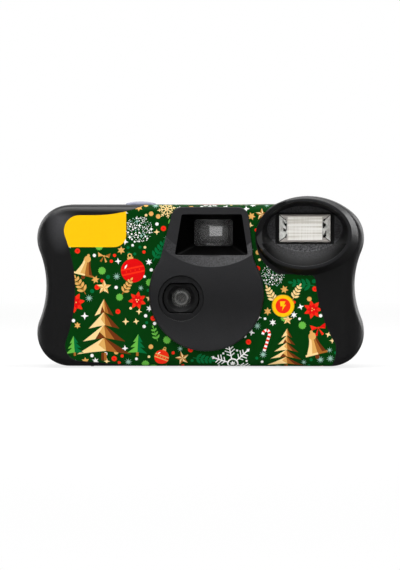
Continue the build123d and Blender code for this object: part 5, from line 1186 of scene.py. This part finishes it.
def finder_glass():
    """The viewfinder's tinted lenses: clear acrylic with a little haze of its own."""
    finish = Finish("finder_glass").colour((196, 196, 196), 60.0, 0.05).gloss(0.03, 0.06, 300.0)
    return finish.having(Transmission_Weight=0.94, IOR=ACRYLIC_IOR)


STOP_RINGS = ((1.9, (168, 168, 165)), (2.5, (70, 70, 70)), (3.1, (20, 20, 20)))
RING_BLUR = 0.12


def stop_rings():
    """The board behind the lens: pale rings about the stop, by the distance from the lens's axis."""
    finish = Finish("stop_rings")
    radius = finish.distance(finish.axis("X"), LENS_X, finish.axis("Z"), LENS_Z)
    tone = (58, 58, 58)
    for start, colour in STOP_RINGS:
        mask = finish.ramp(radius, (start - RING_BLUR) * MM, (start + RING_BLUR) * MM)
        tone = finish.mixed(mask, tone, colour)
    return finish.colour(tone, 500.0, 0.4).gloss(0.3, 0.5).grain(3000.0, 0.01 * MM)


RIB_TONES = ((214, 209, 198), (252, 250, 244))
RIB_SPAN = (0.64, 1.0)


def window_ribs():
    """The flash window's face: cream light from the trough behind, through fine ribs across and along."""
    finish = Finish("window_ribs")
    across = finish.effect(FINE_LINES, Place=finish.stretched(0.02, 1.0, 1.0), Lines=1900.0)
    along = finish.effect(FINE_LINES, Place=finish.stretched(1.0, 1.0, 0.02), Lines=3600.0)
    streaks = finish.total(finish.product(across, 1.25), finish.product(along, 0.45))
    finish.colour(finish.mixed(finish.ramp(streaks, *RIB_SPAN), *RIB_TONES), 60.0, 0.1).gloss(0.1, 0.2, 400.0)
    return finish.having(Alpha=0.93).relief(streaks, 0.03 * MM)


# Painted light seen through the window's facets: bright, and greyer beyond the slanting line
FACET_TONES = ((240, 240, 235), (176, 174, 168))
CORNER_LINE = (6.3 * MM, 9.2 * MM, 2.5 * MM, 4.8 * MM)
LINE_START = 6.6 * MM
LINE_HALF = 0.16 * MM
SPECK_BAND = (6.5 * MM, 7.7 * MM)
SPECK_HEIGHT = 3.4 * MM
SPECKLE_SPAN = (0.3, 0.7)
SPECKS_FROM = 0.5


def window_facets():
    """The window's edges and slanted ends, painted with the light seen through the bevelled glass: bright in
    the middle, greyer beyond a slanting dark line that runs out to each corner, with a few dark specks of the
    tube's ends near the ribs."""
    finish = Finish("window_facets")
    side = finish.distance(finish.axis("X"), PANE_X)
    level = finish.distance(finish.axis("Z"), PANE_Z)
    speckle = finish.effect(FINE_LINES, Place=finish.stretched(0.8, 1.0, 0.5), Lines=1300.0)
    line = finish.ramp(side, *CORNER_LINE)
    tone = finish.mixed(finish.ramp(speckle, *SPECKLE_SPAN), *FACET_TONES)
    tone = finish.mixed(finish.above(level, line), tone, (190, 184, 178))
    near_line = finish.above(LINE_HALF, finish.distance(finish.less(level, line), 0.0))
    tone = finish.mixed(finish.product(near_line, finish.above(side, LINE_START)), tone, (70, 68, 66))
    ends = finish.product(finish.within(side, *SPECK_BAND), finish.above(SPECK_HEIGHT, level))
    tone = finish.mixed(finish.product(ends, finish.above(speckle, SPECKS_FROM)), tone, (20, 19, 18))
    finish.colour(tone, 90.0, 0.1).gloss(0.06, 0.14, 400.0)
    return finish.having(Alpha=0.85).relief(speckle, 0.03 * MM)


def metal(name, colour, low, high, stretch=(1.0, 1.0, 0.05), lines=2600.0, depth=0.004 * MM):
    """A metal with drawn lines along the stretched direction."""
    finish = Finish(name, metal=1.0).colour(colour, 150.0, 0.12).gloss(low, high, 240.0)
    return finish.marks(lines, depth, *stretch)


TRACK_SPAN = (0.42, 0.46)


def board_laminate():
    """The circuit board: brown laminate with green lacquer over its tracks, a pattern of square cells."""
    finish = Finish("board_laminate")
    square = {"distance": "CHEBYCHEV", "feature": "F2"}
    cells = finish.node("TexVoronoi", square, Vector=finish.place, Scale=260.0).outputs["Distance"]
    tracks = finish.ramp(cells, *TRACK_SPAN)
    finish.colour(finish.mixed(tracks, (120, 84, 40), (60, 92, 44)), 400.0, 0.2).gloss(0.3, 0.5)
    return finish.relief(tracks, 0.03 * MM)


def felt():
    """The light trap's black plush: deep fibre noise and a soft sheen."""
    finish = Finish("felt").colour((24, 24, 26), 2500.0, 0.8).gloss(0.9, 1.0)
    return finish.having(Sheen_Weight=0.6, Sheen_Roughness=0.5).marks(9000.0, 0.05 * MM)


BAND_BLUR = 0.05


def banded(name, letter, low, high, metal_share, bands):
    """A sleeve with bands of colour: each band starts at its place in millimetres on one axis."""
    finish = Finish(name, metal=metal_share)
    tone = bands[0][1]
    for place, colour in bands[1:]:
        mask = finish.ramp(finish.axis(letter), (place - BAND_BLUR) * MM, (place + BAND_BLUR) * MM)
        tone = finish.mixed(mask, tone, colour)
    return finish.colour(tone, 200.0, 0.1).gloss(low, high).grain(1800.0, 0.004 * MM)


def wound_coil():
    """A taped winding: dark ferrite with fine bands of copper wire round it."""
    finish = Finish("wound_coil")
    wave = finish.node("TexWave", {"bands_direction": "Z"}, Vector=finish.place, Scale=900.0, Distortion=1.2)
    wires = wave.outputs["Fac"]
    finish.colour(finish.mixed(wires, (70, 38, 20), (176, 98, 48)), 300.0, 0.2).gloss(0.3, 0.45)
    return finish.relief(wires, 0.05 * MM)


def film_emulsion():
    """The film: a dark orange-brown mask with a soft sheen."""
    finish = Finish("film_emulsion").colour((92, 60, 52), 200.0, 0.15).gloss(0.25, 0.35)
    return finish.having(Coat_Weight=0.5).marks(1200.0, 0.002 * MM)


MOULDED = {
    "frame_black": ((20, 20, 22), 0.5, 0.62, 3800.0, 0.016 * MM),
    "lens_black": ((16, 16, 17), 0.38, 0.5, 5200.0, 0.01 * MM),
    "lilac": ((122, 125, 148), 0.22, 0.32, 3000.0, 0.004 * MM, 0.2 * MM, 0.05),
    "wheel_grey": ((52, 52, 56), 0.38, 0.5, 3600.0, 0.012 * MM),
    "white_plastic": ((226, 226, 222), 0.32, 0.42, 3000.0, 0.006 * MM, 0.1 * MM, 0.05),
    "number_ink": ((24, 24, 26), 0.5, 0.6, 3000.0, 0.002 * MM, 0.0),
    "yellow_plastic": ((255, 198, 10), 0.25, 0.35, 3000.0, 0.004 * MM, 0.1 * MM, 0.05),
    "grey_acetal": ((112, 112, 114), 0.35, 0.45, 3000.0, 0.006 * MM),
    "ferrite": ((44, 44, 48), 0.45, 0.6, 2400.0, 0.02 * MM),
}

CLEAR_PLASTICS = {
    "clear": ((200, 204, 204), 0.16),
    "lens_clear": ((112, 112, 110), 0.3),
    "tube_glass": ((240, 238, 230), 0.5),
    "lamp_glass": ((255, 150, 90), 0.75),
}

METALS = {
    "mirror": ((238, 238, 236), 0.08, 0.18, (1.0, 0.2, 1.0), 900.0, 0.002 * MM),
    "spring_steel": ((176, 176, 178), 0.22, 0.36),
    "nickel": ((206, 196, 176), 0.25, 0.4),
    "can_end": ((150, 150, 152), 0.25, 0.4),
}

RESISTOR_TAN = (196, 160, 112)

SLEEVES = {
    "resistor": ("Z", 0.3, 0.45, 0.0, ((0, RESISTOR_TAN), (10.0, (120, 60, 30)), (10.6, RESISTOR_TAN),
                                       (11.4, (30, 30, 30)), (12.0, RESISTOR_TAN))),
    "can": ("Z", 0.25, 0.4, 0.3, ((0, (58, 58, 62)), (8.0, (206, 168, 40)), (40.0, (58, 58, 62)))),
    "cell": ("Z", 0.2, 0.32, 0.6, ((0, (180, 180, 182)), (6.4, (28, 46, 92)), (42.0, (196, 150, 60)),
                                   (52.6, (190, 190, 192)))),
    "capacitor": ("X", 0.22, 0.34, 0.0, ((-30.0, (24, 26, 40)), (4.6, (170, 170, 172)))),
}

FINISHED_NODES = {
    "case_plastic": "front_cover rear_cover film_door",
    "printed_paper": "label_wrap",
    "frame_black": "main_frame cassette_spool supply_spool",
    "lilac": "shutter_button",
    "spring_steel": "button_spring striker_lever striker_spring metering_spring switch_dome",
    "wheel_grey": "advance_wheel",
    "can": "cassette_shell",
    "can_end": "cassette_end_caps",
    "felt": "light_trap_felts",
    "film_emulsion": "film_strip film_roll",
    "grey_acetal": "sprocket_wheel metering_lever",
    "white_plastic": "counter_disc",
    "clear": "counter_window flash_window ready_light_pipe",
    "lens_black": "shutter_blade lens_retainer viewfinder_mask",
    "lens_clear": "taking_lens",
    "stop_rings": "stop_plate",
    "finder_glass": "viewfinder_front_lens viewfinder_eye_lens",
    "mirror": "flash_reflector",
    "tube_glass": "flash_tube",
    "board_laminate": "flash_board",
    "capacitor": "flash_capacitor",
    "wound_coil": "step_up_transformer trigger_coil",
    "ferrite": "switching_transistor",
    "resistor": "board_resistors",
    "yellow_plastic": "flash_button",
    "lamp_glass": "ready_lamp",
    "nickel": "sync_contacts battery_contact_positive battery_contact_negative",
    "cell": "battery",
}


def make_finishes():
    """Every finish by its name, made once."""
    made = [case_plastic(), printed_paper(), finder_glass(), stop_rings(), window_ribs(), window_facets()]
    made += [board_laminate(), felt(), wound_coil(), film_emulsion()]
    tables = {moulded: MOULDED, clear_plastic: CLEAR_PLASTICS, metal: METALS, banded: SLEEVES}
    for kind, table in tables.items():
        made += [kind(name, *values) for name, values in table.items()]
    return {finish.name: finish.material for finish in made}


def dress_nodes(finishes):
    """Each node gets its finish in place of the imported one."""
    for finish_name, node_names in FINISHED_NODES.items():
        for name in node_names.split():
            nodes[name].data.materials.clear()
            nodes[name].data.materials.append(finishes[finish_name])


# Floor, sky, lamps and camera

CAMERA_AZIMUTH = 2.0
CAMERA_ELEVATION = 1.5
CAMERA_DISTANCE = 1.6
CAMERA_CLIP = (0.01, 20.0)
MM_PER_PIXEL = 0.36
FRAME_HEIGHT = 570
AIM = Vector((0.0, FRONT_Y, 30.0 * MM))
FLOOR_HALF = 6.0
FLOOR_TONE = (240, 240, 240)
FLOOR_SHARE = 0.8
FLOOR_SHARE_FADE = (0.25, 0.8)
FLOOR_MIRRORED = 0.08
FLOOR_MIRRORED_FADE = (0.1, 0.7)
SKY_LIGHT = 0.05
SKY_MIRRORED_FADE = (0.45, 0.65)

# Each lamp's name, place, width and height in metres, and power in watts
LAMPS = (
    ("overhead", (0.0, -0.2, 0.78), (1.1, 0.5), 9.0),
    ("front", (-0.35, -1.1, 0.9), (0.6, 0.6), 3.9),
    ("left_side", (-0.75, 0.25, 0.3), (0.5, 0.7), 4.0),
    ("right_side", (0.75, 0.25, 0.3), (0.5, 0.7), 6.5),
)


def make_floor():
    """Level white ground. The camera and glass see it white, less a share of the shadow near the object,
    and reflections see it bright behind the object and dim in front."""
    corners = [(x * FLOOR_HALF, y * FLOOR_HALF, 0.0) for x, y in ((-1, -1), (1, -1), (1, 1), (-1, 1))]
    floor = new_object("floor", new_mesh("floor", corners, [(0, 1, 2, 3)]))
    finish = Finish("floor_white").having(Base_Color=screen_colour(*FLOOR_TONE), Roughness=0.9)
    away = finish.node("VectorMath", {"operation": "LENGTH"}, Vector=finish.place).outputs["Value"]
    rays, white = finish.white_rays()
    share = finish.product(white, finish.ramp(away, *FLOOR_SHARE_FADE, FLOOR_SHARE, 1.0))
    mirrored = finish.ramp(finish.axis("Y"), *FLOOR_MIRRORED_FADE, FLOOR_MIRRORED, 1.0)
    glow = finish.node("Emission", Strength=finish.most(white, mirrored)).outputs["Emission"]
    mix = finish.node("MixShader", Fac=finish.most(share, rays["Is Glossy Ray"]))
    finish.feed(mix.inputs[1], finish.shader.outputs["BSDF"])
    finish.feed(mix.inputs[2], glow)
    finish.feed(finish.tree.nodes["Material Output"].inputs["Surface"], mix.outputs["Shader"])
    floor.data.materials.append(finish.material)


def make_sky():
    """A dim even sky, which the camera and glass see white, and reflections see bright behind the object."""
    world = bpy.data.worlds.new("sky")
    bpy.context.scene.world = world
    world.use_nodes = True
    recipe = Recipe(world.node_tree)
    sky = recipe.tree.nodes["Background"].inputs
    sky["Color"].default_value = (1.0, 1.0, 1.0, 1.0)
    direction = recipe.node("TexCoord").outputs["Generated"]
    behind = recipe.ramp(recipe.node("SeparateXYZ", Vector=direction).outputs["Y"], *SKY_MIRRORED_FADE)
    rays, white = recipe.white_rays()
    bright = recipe.most(white, recipe.product(behind, rays["Is Glossy Ray"]))
    recipe.feed(sky["Strength"], recipe.most(bright, SKY_LIGHT))


def aimed(name, data, place):
    """A new lamp or camera at a place, turned to face the camera's aim."""
    made = new_object(name, data)
    made.location = place
    made.rotation_euler = (AIM - Vector(place)).to_track_quat("-Z", "Y").to_euler()
    return made


def make_lamps():
    """The soft rectangular lamps."""
    for name, place, size, power in LAMPS:
        light = bpy.data.lights.new(name, "AREA")
        light.shape = "RECTANGLE"
        light.size, light.size_y = size
        light.energy = power
        aimed(name, light, place)


def make_camera():
    """A long lens at the photograph's angle: its focal length makes a pixel MM_PER_PIXEL wide at the aim."""
    lens = bpy.data.cameras.new("camera")
    azimuth, elevation = math.radians(CAMERA_AZIMUTH), math.radians(CAMERA_ELEVATION)
    back = Vector((math.sin(azimuth) * math.cos(elevation), -math.cos(azimuth) * math.cos(elevation),
                   math.sin(elevation)))
    lens.lens = lens.sensor_width * CAMERA_DISTANCE / (FRAME_HEIGHT * MM_PER_PIXEL * MM)
    lens.clip_start, lens.clip_end = CAMERA_CLIP
    bpy.context.scene.camera = aimed("camera", lens, AIM + back * CAMERA_DISTANCE)


finishes = make_finishes()
dress_nodes(finishes)
make_printed_wrap(finishes)
make_switch_print(finishes)
make_counter_numbers(finishes)
make_flash_pane(finishes)
make_floor()
make_sky()
make_lamps()
make_camera()
bpy.context.scene.view_settings.view_transform = "Standard"
